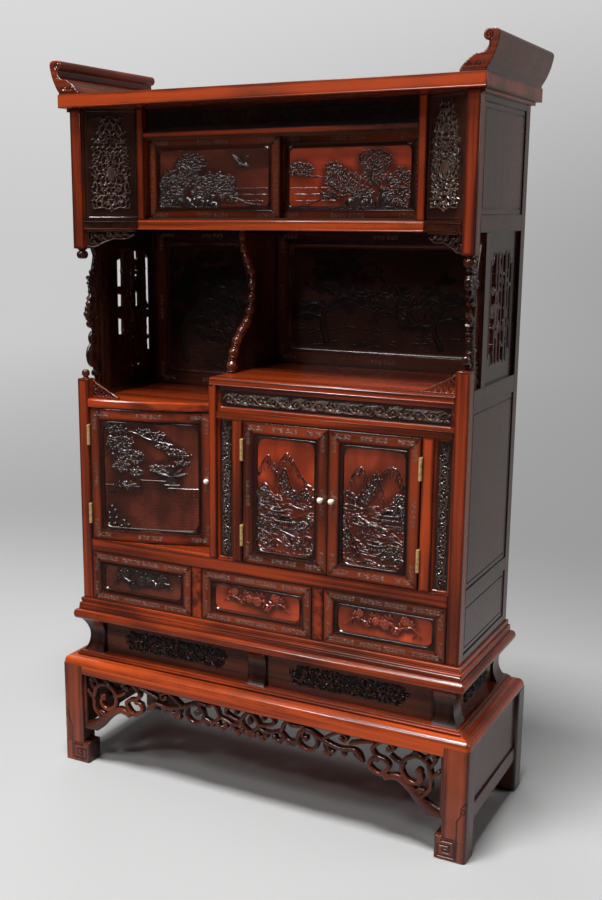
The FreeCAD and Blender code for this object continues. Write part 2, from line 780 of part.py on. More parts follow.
def knob(x, y, z, turn):
    """Turned knob standing out of a door face; turn swings it from straight ahead."""
    shape = ball_on_neck(knob_neck_radius, knob_radius, knob_stand_off + 2 * knob_radius)
    shape.rotate(Vector(0, 0, 0), Vector(1, 0, 0), 90)
    shape.rotate(Vector(0, 0, 0), Vector(0, 0, 1), turn)
    shape.translate(Vector(x, y, z))
    return shape


# Bowed left door: curved frame and panel, hinged to the left post
left_pivot = -inner + leaf_room
left_edge = left_pivot + leaf_room
z0 = z_cupboard + door_gap
z1 = z_left_shelf - door_gap
hinge_angle = bow_angle(left_edge - leaf_room)
free_angle = stop_angle - meeting_gap / bow_radius
frame_angle = door_frame_width / bow_radius
rail_start = bow_angle(left_edge) + frame_angle
rail_end = free_angle - frame_angle
left_limit = block((left_edge, partition), (front - door_thickness, back), (z0, z1))
hinge_stile = bow_board(hinge_angle, rail_start, 0, door_thickness, z0, z1).common(left_limit).Solids[0]
free_stile = bow_board(rail_end, free_angle, 0, door_thickness, z0, z1)
top_rail = bow_board(rail_start, rail_end, 0, door_thickness, z1 - door_frame_width, z1)
bottom_rail = bow_board(rail_start, rail_end, 0, door_thickness, z0, z0 + door_frame_width)
save("left_door_frame", hinge_stile, free_stile, top_rail, bottom_rail)
save("left_door_panel", bow_board(
    rail_start, rail_end, door_panel_recess, door_panel_recess + carving_thickness,
    z0 + door_frame_width, z1 - door_frame_width))
knob_angle = free_angle - frame_angle / 2
knob_seat = bow_point(knob_angle, 0)
save("left_door_knob", knob(*knob_seat, (z0 + z1) / 2, math.degrees(knob_angle)))
fixed_parts, moving_leaves = hinge_pair(left_pivot, 1, z0, z1)
save("left_door_hinges", *moving_leaves)

# Pair of panelled doors, hinged to the stiles and meeting in the middle
door_names = ("middle_door", "right_door")
door_z = (z_cupboard + door_gap, z_frieze_rail - door_gap)
door_spans = (
    (door_left + 2 * leaf_room, door_middle - meeting_gap / 2),
    (door_middle + meeting_gap / 2, door_right - 2 * leaf_room))
door_pivots = ((door_left + leaf_room, 1), (door_right - leaf_room, -1))
for name, (x0, x1), (pivot, door_side) in zip(door_names, door_spans, door_pivots):
    low, high = door_z
    save(name + "_frame", *mitred_frame(x0, x1, low, high, door_frame_width, front, front + door_thickness))
    panel_y = front + door_panel_recess
    save(name + "_panel", block(
        (x0 + door_frame_width, x1 - door_frame_width), (panel_y, panel_y + carving_thickness),
        (low + door_frame_width, high - door_frame_width)))
    free_edge = x1 if door_side > 0 else x0
    knob_x = free_edge - door_side * door_frame_width / 2
    save(name + "_knob", knob(knob_x, front, z_cupboard + knob_height, 0))
    fixed, moving_leaves = hinge_pair(pivot, door_side, low, high)
    fixed_parts += fixed
    save(name + "_hinges", *moving_leaves)
save("hinge_frame_leaves", *fixed_parts)

# Drawers: framed front with a carved panel, and the box behind it
for number, left in enumerate(drawer_lefts, start=1):
    x0, x1 = left + drawer_gap, left + drawer_width - drawer_gap
    low, high = z_case + running_gap, z_rail - drawer_gap
    face_back = front + door_thickness
    panel_y = front + door_panel_recess
    frame = mitred_frame(x0, x1, low, high, drawer_frame_width, front, face_back)
    panel = block(
        (x0 + drawer_frame_width, x1 - drawer_frame_width), (panel_y, panel_y + carving_thickness),
        (low + drawer_frame_width, high - drawer_frame_width))
    save("drawer_%d_front" % number, *frame, panel)
    box_back = back_face - drawer_side
    box_top = high - drawer_frame_width
    wall_y = (face_back, box_back)
    walls = [
        block((x0, x0 + drawer_side), wall_y, (low, box_top)),
        block((x1 - drawer_side, x1), wall_y, (low, box_top)),
        block((x0 + drawer_side, x1 - drawer_side), (box_back - drawer_side, box_back), (low, box_top)),
        block((x0 + drawer_side, x1 - drawer_side), (face_back, face_back + drawer_side), (low, box_top)),
        block((x0 + drawer_side, x1 - drawer_side), (face_back + drawer_side, box_back - drawer_side),
              (low, low + drawer_bottom))]
    save("drawer_%d_box" % number, *walls)

# Sliding doors: the left one runs in the front track, the right one behind it
slider_edge = slide_inner - running_gap
slider_spans = (
    ("left_slider", -slider_edge, slider_overlap / 2, front_slider),
    ("right_slider", -slider_overlap / 2, slider_edge, rear_slider))
for name, x0, x1, y in slider_spans:
    low, high = z_slide + running_gap, z_transom - running_gap
    save(name + "_frame", *mitred_frame(x0, x1, low, high, slider_frame_width, y, y + slider_thickness))
    panel_y = y + slider_panel_recess
    save(name + "_panel", block(
        (x0 + slider_frame_width, x1 - slider_frame_width), (panel_y, panel_y + slider_panel_thickness),
        (low + slider_frame_width, high - slider_frame_width)))
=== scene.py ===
import json
import math

import bmesh
import bpy
import numpy as np
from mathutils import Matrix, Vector

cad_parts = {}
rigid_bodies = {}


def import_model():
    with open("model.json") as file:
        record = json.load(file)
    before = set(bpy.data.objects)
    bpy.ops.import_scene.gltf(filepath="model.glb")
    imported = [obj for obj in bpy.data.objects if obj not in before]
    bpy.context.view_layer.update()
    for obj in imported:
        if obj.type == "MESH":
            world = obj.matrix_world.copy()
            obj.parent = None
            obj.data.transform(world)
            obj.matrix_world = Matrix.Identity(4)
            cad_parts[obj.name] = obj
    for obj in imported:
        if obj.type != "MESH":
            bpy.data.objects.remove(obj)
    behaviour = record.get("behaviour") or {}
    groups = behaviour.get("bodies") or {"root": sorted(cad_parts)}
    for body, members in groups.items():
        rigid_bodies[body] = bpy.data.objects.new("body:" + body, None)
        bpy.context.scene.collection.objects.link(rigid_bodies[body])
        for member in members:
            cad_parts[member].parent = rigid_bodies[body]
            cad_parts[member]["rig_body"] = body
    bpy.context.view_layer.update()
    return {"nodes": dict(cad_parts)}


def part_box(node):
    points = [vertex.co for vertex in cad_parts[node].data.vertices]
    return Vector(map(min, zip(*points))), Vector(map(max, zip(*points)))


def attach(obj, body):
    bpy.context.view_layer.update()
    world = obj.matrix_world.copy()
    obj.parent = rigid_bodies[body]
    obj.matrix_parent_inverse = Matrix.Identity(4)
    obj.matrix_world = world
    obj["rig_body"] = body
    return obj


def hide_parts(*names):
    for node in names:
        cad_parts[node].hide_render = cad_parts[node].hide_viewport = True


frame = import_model()
mm = 0.001
chance = np.random.default_rng(11)

# Stand legs.
# Four square legs of solid rosewood with inturned feet. A bead is left standing along the inner edges, and
# a square spiral and a cloud-head line are cut into the front faces; the legs are tenoned into the top
# frame.
class Shade:
    """A shader socket that Python's operators work on: each one adds the Math node that works it out."""

    def __init__(self, tree, socket=None):
        self.tree = tree
        self.socket = socket

    def node(self, kind, settings, inputs, output=0):
        made = self.tree.nodes.new("ShaderNode" + kind)
        for setting, value in settings.items():
            setattr(made, setting, value)
        for place, value in inputs.items():
            if isinstance(value, Shade):
                self.tree.links.new(value.socket, made.inputs[place])
            else:
                made.inputs[place].default_value = value
        return Shade(self.tree, made.outputs[output])

    def maths(self, operation, first, second):
        return self.node("Math", {"operation": operation}, {0: first, 1: second})

    def __add__(self, other):
        return self.maths("ADD", self, other)

    def __sub__(self, other):
        return self.maths("SUBTRACT", self, other)

    def __rsub__(self, other):
        return self.maths("SUBTRACT", other, self)

    def __mul__(self, other):
        return self.maths("MULTIPLY", self, other)

    __radd__ = __add__
    __rmul__ = __mul__

    def stretch(self, along, across):
        """Grain coordinates drawn out along the wood's length."""
        return self.node("VectorMath", {"operation": "MULTIPLY"}, {0: self, 1: (along, across, across)})

    def noise(self, detail):
        """Cloudy noise, at the scale that the coordinates are stretched to."""
        return self.node("TexNoise", {}, {"Vector": self, "Scale": 1.0, "Detail": detail})

    def between(self, low, high):
        """0 below low, 1 above high and a soft step between them."""
        return self.node(
            "MapRange", {"interpolation_type": "SMOOTHSTEP"},
            {"Value": self, "From Min": low, "From Max": high})

    def mix(self, first, second):
        """The first colour where this is 0 and the second where it is 1."""
        return self.node("Mix", {"data_type": "RGBA"}, {0: self, 6: first, 7: second}, 2)


def new_finish(name):
    """A new material, its shader and its grain coordinates."""
    material = bpy.data.materials.new(name)
    material.use_nodes = True
    shader = material.node_tree.nodes["Principled BSDF"]
    start = Shade(material.node_tree)
    grain = start.node("Attribute", {"attribute_name": "grain"}, {}, 1)
    return material, shader, grain


def feed(shader, **sockets):
    """Links or sets the shader's sockets, named with _ for a space."""
    for name, value in sockets.items():
        socket = shader.inputs[name.replace("_", " ")]
        if isinstance(value, Shade):
            value.tree.links.new(value.socket, socket)
        else:
            socket.default_value = value


def toned(colour, share):
    """A colour made deeper or paler by a share."""
    return tuple(share * part for part in colour[:3]) + (1,)


def polished_wood(name, dark, red, pale, rough, banding=0.7):
    """Polished rosewood: streaks and open pores along the grain, with grime and painted shade darkening the
    edges of faces and the low parts of carving.
    """
    material, shader, grain = new_finish(name)
    wear_and_light = grain.node("Attribute", {"attribute_name": "raised"}, {}, 2)
    streaks = grain.stretch(2.2, 85).noise(4)
    figure = grain.stretch(1.1, 11).noise(2)
    pores = grain.stretch(60, 1500).noise(1).between(0.6, 0.72)
    wear = grain.stretch(7, 7).noise(3)
    bands = grain.stretch(1.3, 30).noise(3)
    body = streaks.between(0.3, 0.62).mix(dark, red)
    body = (figure.between(0.35, 0.75) * 0.8).mix(body, pale)
    body = (bands.between(0.5, 0.68) * banding).mix(body, dark)
    body = (pores * 0.5).mix(body, dark)
    # Grime with painted shade: darker where the corner's raised value is low, at face edges, in grooves and
    # low in carving.
    grime_and_painted_shade = (1.05 - wear_and_light + (wear - 0.5) * 1.6).between(0.0, 0.9)
    body = (grime_and_painted_shade * 0.75).mix(body, toned(dark, 0.4))
    bump = grain.node("Bump", {}, {"Strength": 0.12, "Distance": 0.0004, "Height": streaks * 0.4 - pores})
    feed(shader, Base_Color=body, Roughness=wear * 0.16 + pores * 0.08 + (rough - 0.08), Normal=bump,
         Specular_IOR_Level=0.36, Coat_Weight=0.7, Coat_Roughness=0.16)
    return material


def solids(node):
    """The closed solids of a CAD node, each as its merged corners and its faces."""
    mesh = frame["nodes"][node].data
    found, corners, faces, open_edges = [], {}, [], set()
    for polygon in mesh.polygons:
        face = []
        for index in polygon.vertices:
            key = tuple(round(c, 6) for c in mesh.vertices[index].co)
            face.append(corners.setdefault(key, len(corners)))
        if len(set(face)) < 3:
            continue
        faces.append(face)
        for edge in zip(face, face[1:] + face[:1]):
            open_edges ^= {frozenset(edge)}
        if not open_edges:
            found.append((list(corners), faces))
            corners, faces = {}, []
    return found


def eased(corners, faces, ease, edge_wear_and_light=0.15):
    """A solid with its sharp edges eased over, and a value for each corner, 1 in the middles of faces and
    lower at their edges, which the finish draws darker as grime and painted shade.
    """
    flat_turn, side_turn, sharp_turn = np.radians((1, 14, 25))
    widest_rim = 7 * mm
    solid = bmesh.new()
    made = [solid.verts.new(corner) for corner in corners]
    for face in faces:
        solid.faces.new([made[index] for index in face])
    bmesh.ops.dissolve_limit(
        solid, angle_limit=flat_turn, verts=solid.verts[:], edges=solid.edges[:],
        use_dissolve_boundaries=False)
    sharp = [edge for edge in solid.edges if edge.is_manifold and edge.calc_face_angle() > sharp_turn]
    bmesh.ops.bevel(
        solid, geom=sharp, offset=ease, offset_type="OFFSET", segments=2, profile=0.5, affect="EDGES",
        clamp_overlap=True)
    sides, met, wear_and_light = [], set(), {}
    for face in solid.faces:
        if face in met:
            continue
        side, met = [face], met | {face}
        for one in side:
            for edge in one.edges:
                beyond = [other for other in edge.link_faces if other not in met]
                if beyond and edge.calc_face_angle() < side_turn:
                    side += beyond
                    met.update(beyond)
        spots = np.array([vert.co for one in side for vert in one.verts])
        narrow = sum(one.calc_area() for one in side) / np.linalg.norm(np.ptp(spots, axis=0))
        if narrow > 1.5 * ease:
            sides.append((side, min(0.25 * narrow, widest_rim)))
    for side, reach in sides:
        bmesh.ops.inset_region(solid, faces=side, thickness=reach, use_even_offset=True, use_boundary=True)
        wear_and_light.update((vert, 1.0) for one in side for vert in one.verts)
    solid.verts.index_update()
    corners = [tuple(vert.co) for vert in solid.verts]
    wear_and_light = [wear_and_light.get(vert, edge_wear_and_light) for vert in solid.verts]
    faces = [[vert.index for vert in face.verts] for face in solid.faces]
    solid.free()
    return corners, faces, wear_and_light


class Stock:
    """Wood, metal or bone gathered for one piece: corners, faces, and the grain of each part."""

    def __init__(self):
        self.corners, self.faces, self.grain, self.raised = [], [], [], []

    def add(self, corners, faces, raised=None, along=None):
        """Adds a part with its own stretch of grain, along its longest side unless another axis is named."""
        corners = np.asarray(corners, float).reshape(-1, 3)
        start = sum(len(part) for part in self.corners)
        order = np.argsort(-np.ptp(corners, axis=0), kind="stable")
        if along is not None:
            order = [along] + [axis for axis in order if axis != along]
        self.corners.append(corners)
        self.faces += [[start + int(index) for index in face] for face in faces]
        self.grain.append(corners[:, order] + chance.uniform(-5, 5, 3))
        self.raised.append(np.full(len(corners), 0.8) if raised is None else raised)
        return self

    def make(self, name, body, finish, slot, stands_for=(), smooth=20):
        """Makes the piece, which rides on that body."""
        mesh = bpy.data.meshes.new(name)
        mesh.from_pydata(np.concatenate(self.corners).tolist(), [], self.faces)
        grain = mesh.attributes.new("grain", "FLOAT_VECTOR", "POINT")
        grain.data.foreach_set("vector", np.concatenate(self.grain).astype(np.float32).ravel())
        raised = mesh.attributes.new("raised", "FLOAT", "POINT")
        raised.data.foreach_set("value", np.concatenate(self.raised).astype(np.float32))
        mesh.shade_smooth()
        mesh.set_sharp_from_angle(angle=math.radians(smooth))
        mesh.materials.append(finish)
        piece = bpy.data.objects.new(name, mesh)
        bpy.context.scene.collection.objects.link(piece)
        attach(piece, body)
        if stands_for:
            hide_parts(*stands_for)
        return piece


def bend(*points, steps=8):
    """A smooth line through the points."""
    points = np.array(points, float)
    padded = np.concatenate([2 * points[:1] - points[1:2], points, 2 * points[-1:] - points[-2:-1]])
    line = [points[0]]
    for before, start, end, after in zip(padded, padded[1:], padded[2:], padded[3:]):
        for t in np.linspace(0, 1, steps + 1)[1:]:
            line.append(0.5 * (
                2 * start + (end - before) * t + (2 * before - 5 * start + 4 * end - after) * t ** 2
                + (3 * start - before - 3 * end + after) * t ** 3))
    return np.array(line)


class Carving:
    """A sheet to be carved, in millimetres: how high each point stands and how far inside the outline."""

    def __init__(self, width, height, step, left=0.0, bottom=0.0, full=1.0, shade_reach=0.0):
        self.step = step
        self.u, self.v = np.meshgrid(
            left + np.linspace(0, width, round(width / step) + 1),
            bottom + np.linspace(0, height, round(height / step) + 1))
        self.rise = np.zeros_like(self.u)
        self.inside = np.full_like(self.u, -1e3)
        self.full, self.shade_reach = full, shade_reach
        self.wear_and_light = 1.0
        self.swell = 0.0
        self.tufts = set()

    def near(self, low_u, high_u, low_v, high_v):
        """The part of the sheet around a mark."""
        columns = np.searchsorted(self.u[0], (low_u, high_u))
        rows = np.searchsorted(self.v[:, 0], (low_v, high_v))
        part = (slice(*rows), slice(*columns))
        return part, self.u[part], self.v[part]

    def ridge(self, line, wide, narrow, rise, groove=False):
        """A round-backed ridge, or a groove, along a line, whose width runs from wide to narrow."""
        line = np.asarray(line, float)
        radii = np.linspace(wide, narrow, len(line)) / 2
        for start, end, r0, r1 in zip(line, line[1:], radii, radii[1:]):
            reach = max(r0, r1) + 3 * self.step
            low, high = np.minimum(start, end) - reach, np.maximum(start, end) + reach
            part, u, v = self.near(low[0], high[0], low[1], high[1])
            run = end - start
            along = np.clip(((u - start[0]) * run[0] + (v - start[1]) * run[1]) / max(run @ run, 1e-9), 0, 1)
            distance = np.hypot(u - start[0] - along * run[0], v - start[1] - along * run[1])
            radius = r0 + along * (r1 - r0)
            back = np.sqrt(np.clip(1 - (distance / radius) ** 2, 0, 1))
            if groove:
                self.rise[part] = np.minimum(self.rise[part], self.full - rise * back)
            else:
                self.rise[part] = np.maximum(self.rise[part], rise * back)
                self.inside[part] = np.maximum(self.inside[part], radius - distance)

    def leaf(self, foot, tip, width, rise, vein=0.5):
        """A pointed leaf with a hollow vein down its middle."""
        foot, tip = np.array(foot, float), np.array(tip, float)
        length = np.hypot(*(tip - foot))
        along_axis = (tip - foot) / length
        low, high = np.minimum(foot, tip) - width, np.maximum(foot, tip) + width
        part, u, v = self.near(low[0], high[0], low[1], high[1])
        along = ((u - foot[0]) * along_axis[0] + (v - foot[1]) * along_axis[1]) / length
        across = (v - foot[1]) * along_axis[0] - (u - foot[0]) * along_axis[1]
        half = width / 2 * np.sin(np.pi * np.clip(along, 0, 1) ** 0.75) + 1e-6
        dome = np.sqrt(np.clip(1 - (across / half) ** 2, 0, 1)) * ((along > 0) & (along < 1))
        crease = 1 - vein * np.exp(-(across / (0.12 * width)) ** 2)
        self.rise[part] = np.maximum(self.rise[part], rise * dome * crease)
        self.inside[part] = np.maximum(
            self.inside[part], np.where((along > 0) & (along < 1), half - abs(across), -9))

    def boss(self, middle, radius, rise, squeeze=1.0, ribs=0, depth=0.3, turn=0.0):
        """A domed lump, squeezed in height if asked, with ribs that fan out from its foot."""
        part, u, v = self.near(
            middle[0] - radius, middle[0] + radius, middle[1] - radius * squeeze,
            middle[1] + radius * squeeze)
        out = np.hypot(u - middle[0], (v - middle[1]) / squeeze) / radius
        dome = np.sqrt(np.clip(1 - out ** 2, 0, 1))
        if ribs:
            fan = np.arctan2(u - middle[0], v - middle[1] + 0.75 * radius * squeeze) + turn
            dome = dome * (1 - depth + depth * np.cos(ribs * fan))
        self.rise[part] = np.maximum(self.rise[part], rise * dome)
        self.inside[part] = np.maximum(self.inside[part], radius * (1 - out))

    def round_edges(self, left, right, bottom, top):
        """Rounds the front over towards the named sides, by a radius for each."""
        u, v = self.u, self.v
        for radius, gap in (
                (left, u - u.min()), (right, u.max() - u), (bottom, v - v.min()), (top, v.max() - v)):
            if radius:
                fall = radius - np.sqrt(np.clip(radius ** 2 - np.clip(radius - gap, 0, None) ** 2, 0, None))
                self.rise -= fall

    def shaded_among_relief(self, raised):
        """The raised share, with bare ground below 0 by how much relief stands within reach, which the finish
        draws darker as painted shade among crowded relief.
        """
        crowd = (raised > 0.05).astype(float)
        reach = round(self.shade_reach / self.step)
        span = 2 * reach + 1
        for axis in (0, 1):
            ends = [(reach + 1, reach) if one == axis else (0, 0) for one in (0, 1)]
            total = np.cumsum(np.pad(crowd, ends, "edge"), axis)
            count = total.shape[axis]
            crowd = (
                np.take(total, range(span, count), axis) - np.take(total, range(count - span), axis)) / span
        return np.where(raised > 0.01, raised, -crowd)

    def sheet(self, place, thickness, pierced=False, both=False):
        """Corners, faces and raised share of the sheet, carved on one face or both and placed by a rule."""
        rows, columns = self.u.shape
        u, v = self.u.copy(), self.v.copy()
        raised = np.clip(self.rise / self.full, 0, 1) * self.wear_and_light
        if self.shade_reach:
            raised = self.shaded_among_relief(raised)
        index = np.arange(rows * columns).reshape(rows, columns)
        kept = np.ones((rows - 1, columns - 1), bool)
        if pierced:
            solid = self.inside > 0
            kept = solid[:-1, :-1] & solid[:-1, 1:] & solid[1:, 1:] & solid[1:, :-1]
            slope_v, slope_u = np.gradient(self.inside, self.step)
            steep = np.maximum(slope_u ** 2 + slope_v ** 2, 0.2)
            around = np.zeros((rows, columns), int)
            for down in (slice(0, -1), slice(1, None)):
                for over in (slice(0, -1), slice(1, None)):
                    around[down, over] += kept
            edge = (around > 0) & (around < 4) & (self.inside < 2 * self.step)
            shift = np.where(edge, np.clip(self.inside, 0, 1.5 * self.step) / steep, 0)
            u -= shift * slope_u
            v -= shift * slope_v
        front = np.stack(place(u, v, self.rise + self.swell), axis=-1).reshape(-1, 3)
        back = np.stack(place(u, v, -thickness - self.rise * both), axis=-1).reshape(-1, 3)
        a, b, c, d = index[:-1, :-1][kept], index[:-1, 1:][kept], index[1:, 1:][kept], index[1:, :-1][kept]
        faces = np.stack([a, b, c, d], axis=1)
        total = rows * columns
        filled = np.zeros((rows + 1, columns + 1), bool)
        filled[1:-1, 1:-1] = kept
        walls = []
        for one, other, forward in (
                (filled[1:, 1:-1], filled[:-1, 1:-1], (index[:, :-1], index[:, 1:])),
                (filled[1:-1, :-1], filled[1:-1, 1:], (index[:-1, :], index[1:, :]))):
            for mask, (start, end) in ((one & ~other, forward), (other & ~one, forward[::-1])):
                start, end = start[mask], end[mask]
                walls.append(np.stack([end, start, start + total, end + total], axis=1))
        walls = np.concatenate(walls)
        if pierced:
            faces = np.concatenate([faces, faces[:, ::-1] + total, walls]).tolist()
        else:
            faces = np.concatenate([faces, walls]).tolist()
            for column in range(columns - 1):
                strip = [index[0, column + 1], index[0, column]]
                strip += list(index[1:-1, 0]) if column == 0 else []
                strip += [index[-1, column], index[-1, column + 1]]
                strip += list(index[-2:0:-1, -1]) if column == columns - 2 else []
                faces.append([corner + total for corner in strip])
        used = np.unique(np.concatenate([np.asarray(face) for face in faces]))
        renumber = np.full(2 * total, -1)
        renumber[used] = np.arange(len(used))
        corners = np.concatenate([front, back])[used]
        shade = np.concatenate([raised.ravel(), raised.ravel() * both])[used]
        return corners, [[int(renumber[corner]) for corner in face] for face in faces], shade


def facing_front(left, front, bottom, spread=1):
    """A rule that stands a carved sheet upright, facing the front; spread -1 mirrors it."""
    def place(u, v, rise):
        return left + spread * u * mm, front - rise * mm, bottom + v * mm
    return place


leg_low, leg_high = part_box("stand_legs")
foot_wide, leg_wide, foot_high, leg_deep, leg_skin = 74, 58, 55, 50, 2.0
leg_high_mm = (leg_high.z - leg_low.z) / mm
legs = Stock()
for side in (-1, 1):
    outer = side * leg_high.x
    shank = Carving(leg_wide, leg_high_mm - foot_high, 1.0, 0, foot_high)
    foot = Carving(foot_wide, foot_high, 1.0)
    cloud = bend((0, 148), (9, 140), (13, 128), (8, 119), (4, 126), (10, 131))
    stem = bend((13, 128), (15, 112), (22, 100), (22, 80), (22, 40), (22, 6))
    spiral = [
        (56, 47), (27, 47), (27, 10), (64, 10), (64, 36), (38, 36), (38, 20), (53, 20), (53, 29), (46, 29)]
    for face in (shank, foot):
        face.rise[:] = face.full = leg_skin
        # The leg fronts are drawn darker towards their left and right edges: painted shade.
        edge_gap = np.minimum(face.u, face.u.max() - face.u)
        face.wear_and_light = 0.3 + 0.6 * np.clip(edge_gap / 14, 0, 1)
        face.ridge(cloud, 3.2, 3.2, 1.7, groove=True)
        face.ridge(stem, 3.2, 3.2, 1.7, groove=True)
    foot.ridge(spiral, 5.4, 5.4, 1.8, groove=True)
    shank.ridge([(50, foot_high), (50, 300)], 2.4, 2.4, 1.0, groove=True)
    foot.ridge([(27, 53), (74, 53)], 2.4, 2.4, 0.9, groove=True)
    shank.round_edges(7, 2, 0, 0)
    foot.round_edges(7, 5, 3, 2)
    front_rule = facing_front(outer, leg_low.y + leg_skin * mm, leg_low.z, -side)
    for face in (shank, foot):
        corners, faces, raised = face.sheet(front_rule, leg_deep - leg_skin)
        if side > 0:
            faces = [one[::-1] for one in faces]
        legs.add(corners, faces, raised, along=2)
leg_wood = polished_wood(
    "leg_wood", (0.035, 0.008, 0.005, 1), (0.21, 0.035, 0.013, 1), (0.38, 0.07, 0.024, 1), 0.26)
legs.make("stand_front_legs", "carcase", leg_wood, "rosewood", ["stand_legs"], smooth=50)
# A darker copy of the rosewood for the parts that face the ends, sides and back: painted shade.
shaded_side_wood = polished_wood(
    "shaded_side_wood", (0.02, 0.006, 0.004, 1), (0.07, 0.013, 0.006, 1), (0.12, 0.022, 0.008, 1), 0.22)
back_legs = Stock()
for corners, faces in solids("stand_legs"):
    if min(corner[1] for corner in corners) > 0:
        back_legs.add(*eased(corners, faces, 4 * mm), along=2)
back_legs.make("stand_back_legs", "carcase", shaded_side_wood, "rosewood", smooth=50)

# Stand top.
# A mitred frame of rosewood round a thin board. Its outer edge is rounded over and a stepped bead is worked
# round the inside, where the waist stands; the legs and rails are tenoned into it from below.


def tidied(corners, faces):
    """A closed part with doubled corners merged and its faces turned outwards."""
    part = bmesh.new()
    made = [part.verts.new(corner) for corner in corners]
    for face in faces:
        part.faces.new([made[index] for index in face])
    bmesh.ops.remove_doubles(part, verts=part.verts[:], dist=1e-6)
    bmesh.ops.recalc_face_normals(part, faces=part.faces[:])
    part.verts.index_update()
    corners = [tuple(vert.co) for vert in part.verts]
    faces = [[vert.index for vert in face.verts] for face in part.faces]
    part.free()
    return corners, faces


def skinned(loops, joined=False, capped=True):
    """A closed part skinned over loops of corners, with caps on its ends unless the last joins the first."""
    loops = np.asarray(loops, float)
    rows, count = loops.shape[:2]
    faces = []
    for row in range(rows if joined else rows - 1):
        near, far = row * count, (row + 1) % rows * count
        for k in range(count):
            following = (k + 1) % count
            faces.append([near + k, near + following, far + following, far + k])
    if capped and not joined:
        faces += [list(range(count)), list(range((rows - 1) * count, rows * count))]
    return tidied(loops.reshape(-1, 3), faces)


def ring(stock, half_x, half_y, section, corner, steps=4):
    """Four mitred lengths of moulding round the object, their section given as (inset, z)."""
    section = np.asarray(section, float)
    radius = np.maximum(corner - section[:, 0], 0)
    for quarter in range(4):
        length, reach = (half_x, half_y) if quarter % 2 == 0 else (half_y, half_x)
        loops = []
        for end in (-1, 1):
            for turn in np.radians(np.linspace(0, 45, steps)[::end]):
                x = end * (length - section[:, 0] - radius + radius * math.sin(turn))
                y = -(reach - section[:, 0] - radius + radius * math.cos(turn))
                loops.append(np.stack([x, y, section[:, 1]], axis=1))
        turn = math.radians(90 * quarter)
        spin = np.array(
            [(math.cos(turn), math.sin(turn), 0), (-math.sin(turn), math.cos(turn), 0), (0, 0, 1)])
        stock.add(*skinned(loops @ spin), along=quarter % 2)


def quarter_round(inset, top, radius, steps=7):
    """The rounded upper outer edge of a moulding."""
    turns = np.linspace(0, math.pi / 2, steps)
    return [(inset + radius * (1 - math.cos(turn)), top - radius * (1 - math.sin(turn))) for turn in turns]


top_low, top_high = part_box("stand_top")
frame_deep, frame_round, frame_corner = 50 * mm, 17 * mm, 12 * mm
bead_inset, bead_step, bead_round = 27 * mm, 4 * mm, 3 * mm
groove_inset, groove_deep = 35 * mm, 1 * mm
lower_top = top_high.z - bead_step
frame_edge = [
    (0, top_low.z), *quarter_round(0, lower_top, frame_round), (bead_inset, lower_top),
    *quarter_round(bead_inset, top_high.z, bead_round), (groove_inset - groove_deep, top_high.z),
    (groove_inset, top_high.z - groove_deep), (groove_inset + groove_deep, top_high.z),
    (frame_deep, top_high.z), (frame_deep, top_low.z)]
stand_top = Stock()
ring(stand_top, top_high.x, top_high.y, frame_edge, frame_corner)
for corners, faces in solids("stand_top"):
    if max(abs(corner[0]) for corner in corners) < top_high.x - frame_deep + 1 * mm:
        stand_top.add(*eased(corners, faces, 1 * mm))
bright_rosewood = polished_wood(
    "bright_rosewood", (0.1, 0.014, 0.004, 1), (0.5, 0.062, 0.01, 1), (0.8, 0.12, 0.017, 1), 0.26)
stand_top.make("stand_top_frame", "carcase", bright_rosewood, "rosewood", ["stand_top"])

# Stand rails.
# Bright rosewood rails under the top frame at front and back, with a bead along the lower edge, and rails and
# panels at the ends drawn darker as painted shade, all tenoned between the legs.


def rod(stock, line, radius, normal, rings=8, place=None):
    """A round bead along a line; a radius for each point swells it, and a rule may lay it on a face."""
    line = np.asarray(line, float)
    radii = np.broadcast_to(radius, len(line))
    normal = np.asarray(normal, float)
    closed = np.allclose(line[0], line[-1])
    ahead = np.roll(line, -1, axis=0) - line
    behind = line - np.roll(line, 1, axis=0)
    if closed:
        ahead[-1], behind[0] = ahead[0], behind[-1]
    else:
        ahead[-1], behind[0] = behind[-1], ahead[0]
    ahead /= np.linalg.norm(ahead, axis=1)[:, None]
    behind /= np.linalg.norm(behind, axis=1)[:, None]
    way = ahead + behind
    way /= np.linalg.norm(way, axis=1)[:, None]
    side = np.cross(way, normal)
    side /= np.linalg.norm(side, axis=1)[:, None]
    up = np.cross(side, way)
    stretch = 1 / np.maximum(np.sum(way * ahead, axis=1), 0.6)
    turns = np.linspace(0, 2 * math.pi, rings, endpoint=False)
    loops = [
        line + (side * (stretch * radii * math.cos(turn))[:, None])
        + up * (radii * math.sin(turn))[:, None] for turn in turns]
    corners = np.stack(loops, axis=1)
    if place is not None:
        corners = np.stack(place(*corners.reshape(-1, 3).T), axis=1).reshape(corners.shape)
    stock.add(*skinned(corners, capped=not closed))


rosewood = polished_wood(
    "rosewood", (0.04, 0.007, 0.003, 1), (0.265, 0.031, 0.006, 1), (0.48, 0.062, 0.009, 1), 0.24)


def boards(name, node, finish=rosewood, ease=1.2 * mm, slot="rosewood", along=None):
    """A CAD node's boards with eased edges, standing for the node."""
    stock = Stock()
    for corners, faces in solids(node):
        stock.add(*eased(corners, faces, ease), along=along)
    return stock.make(name, frame["nodes"][node]["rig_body"], finish, slot, [node])


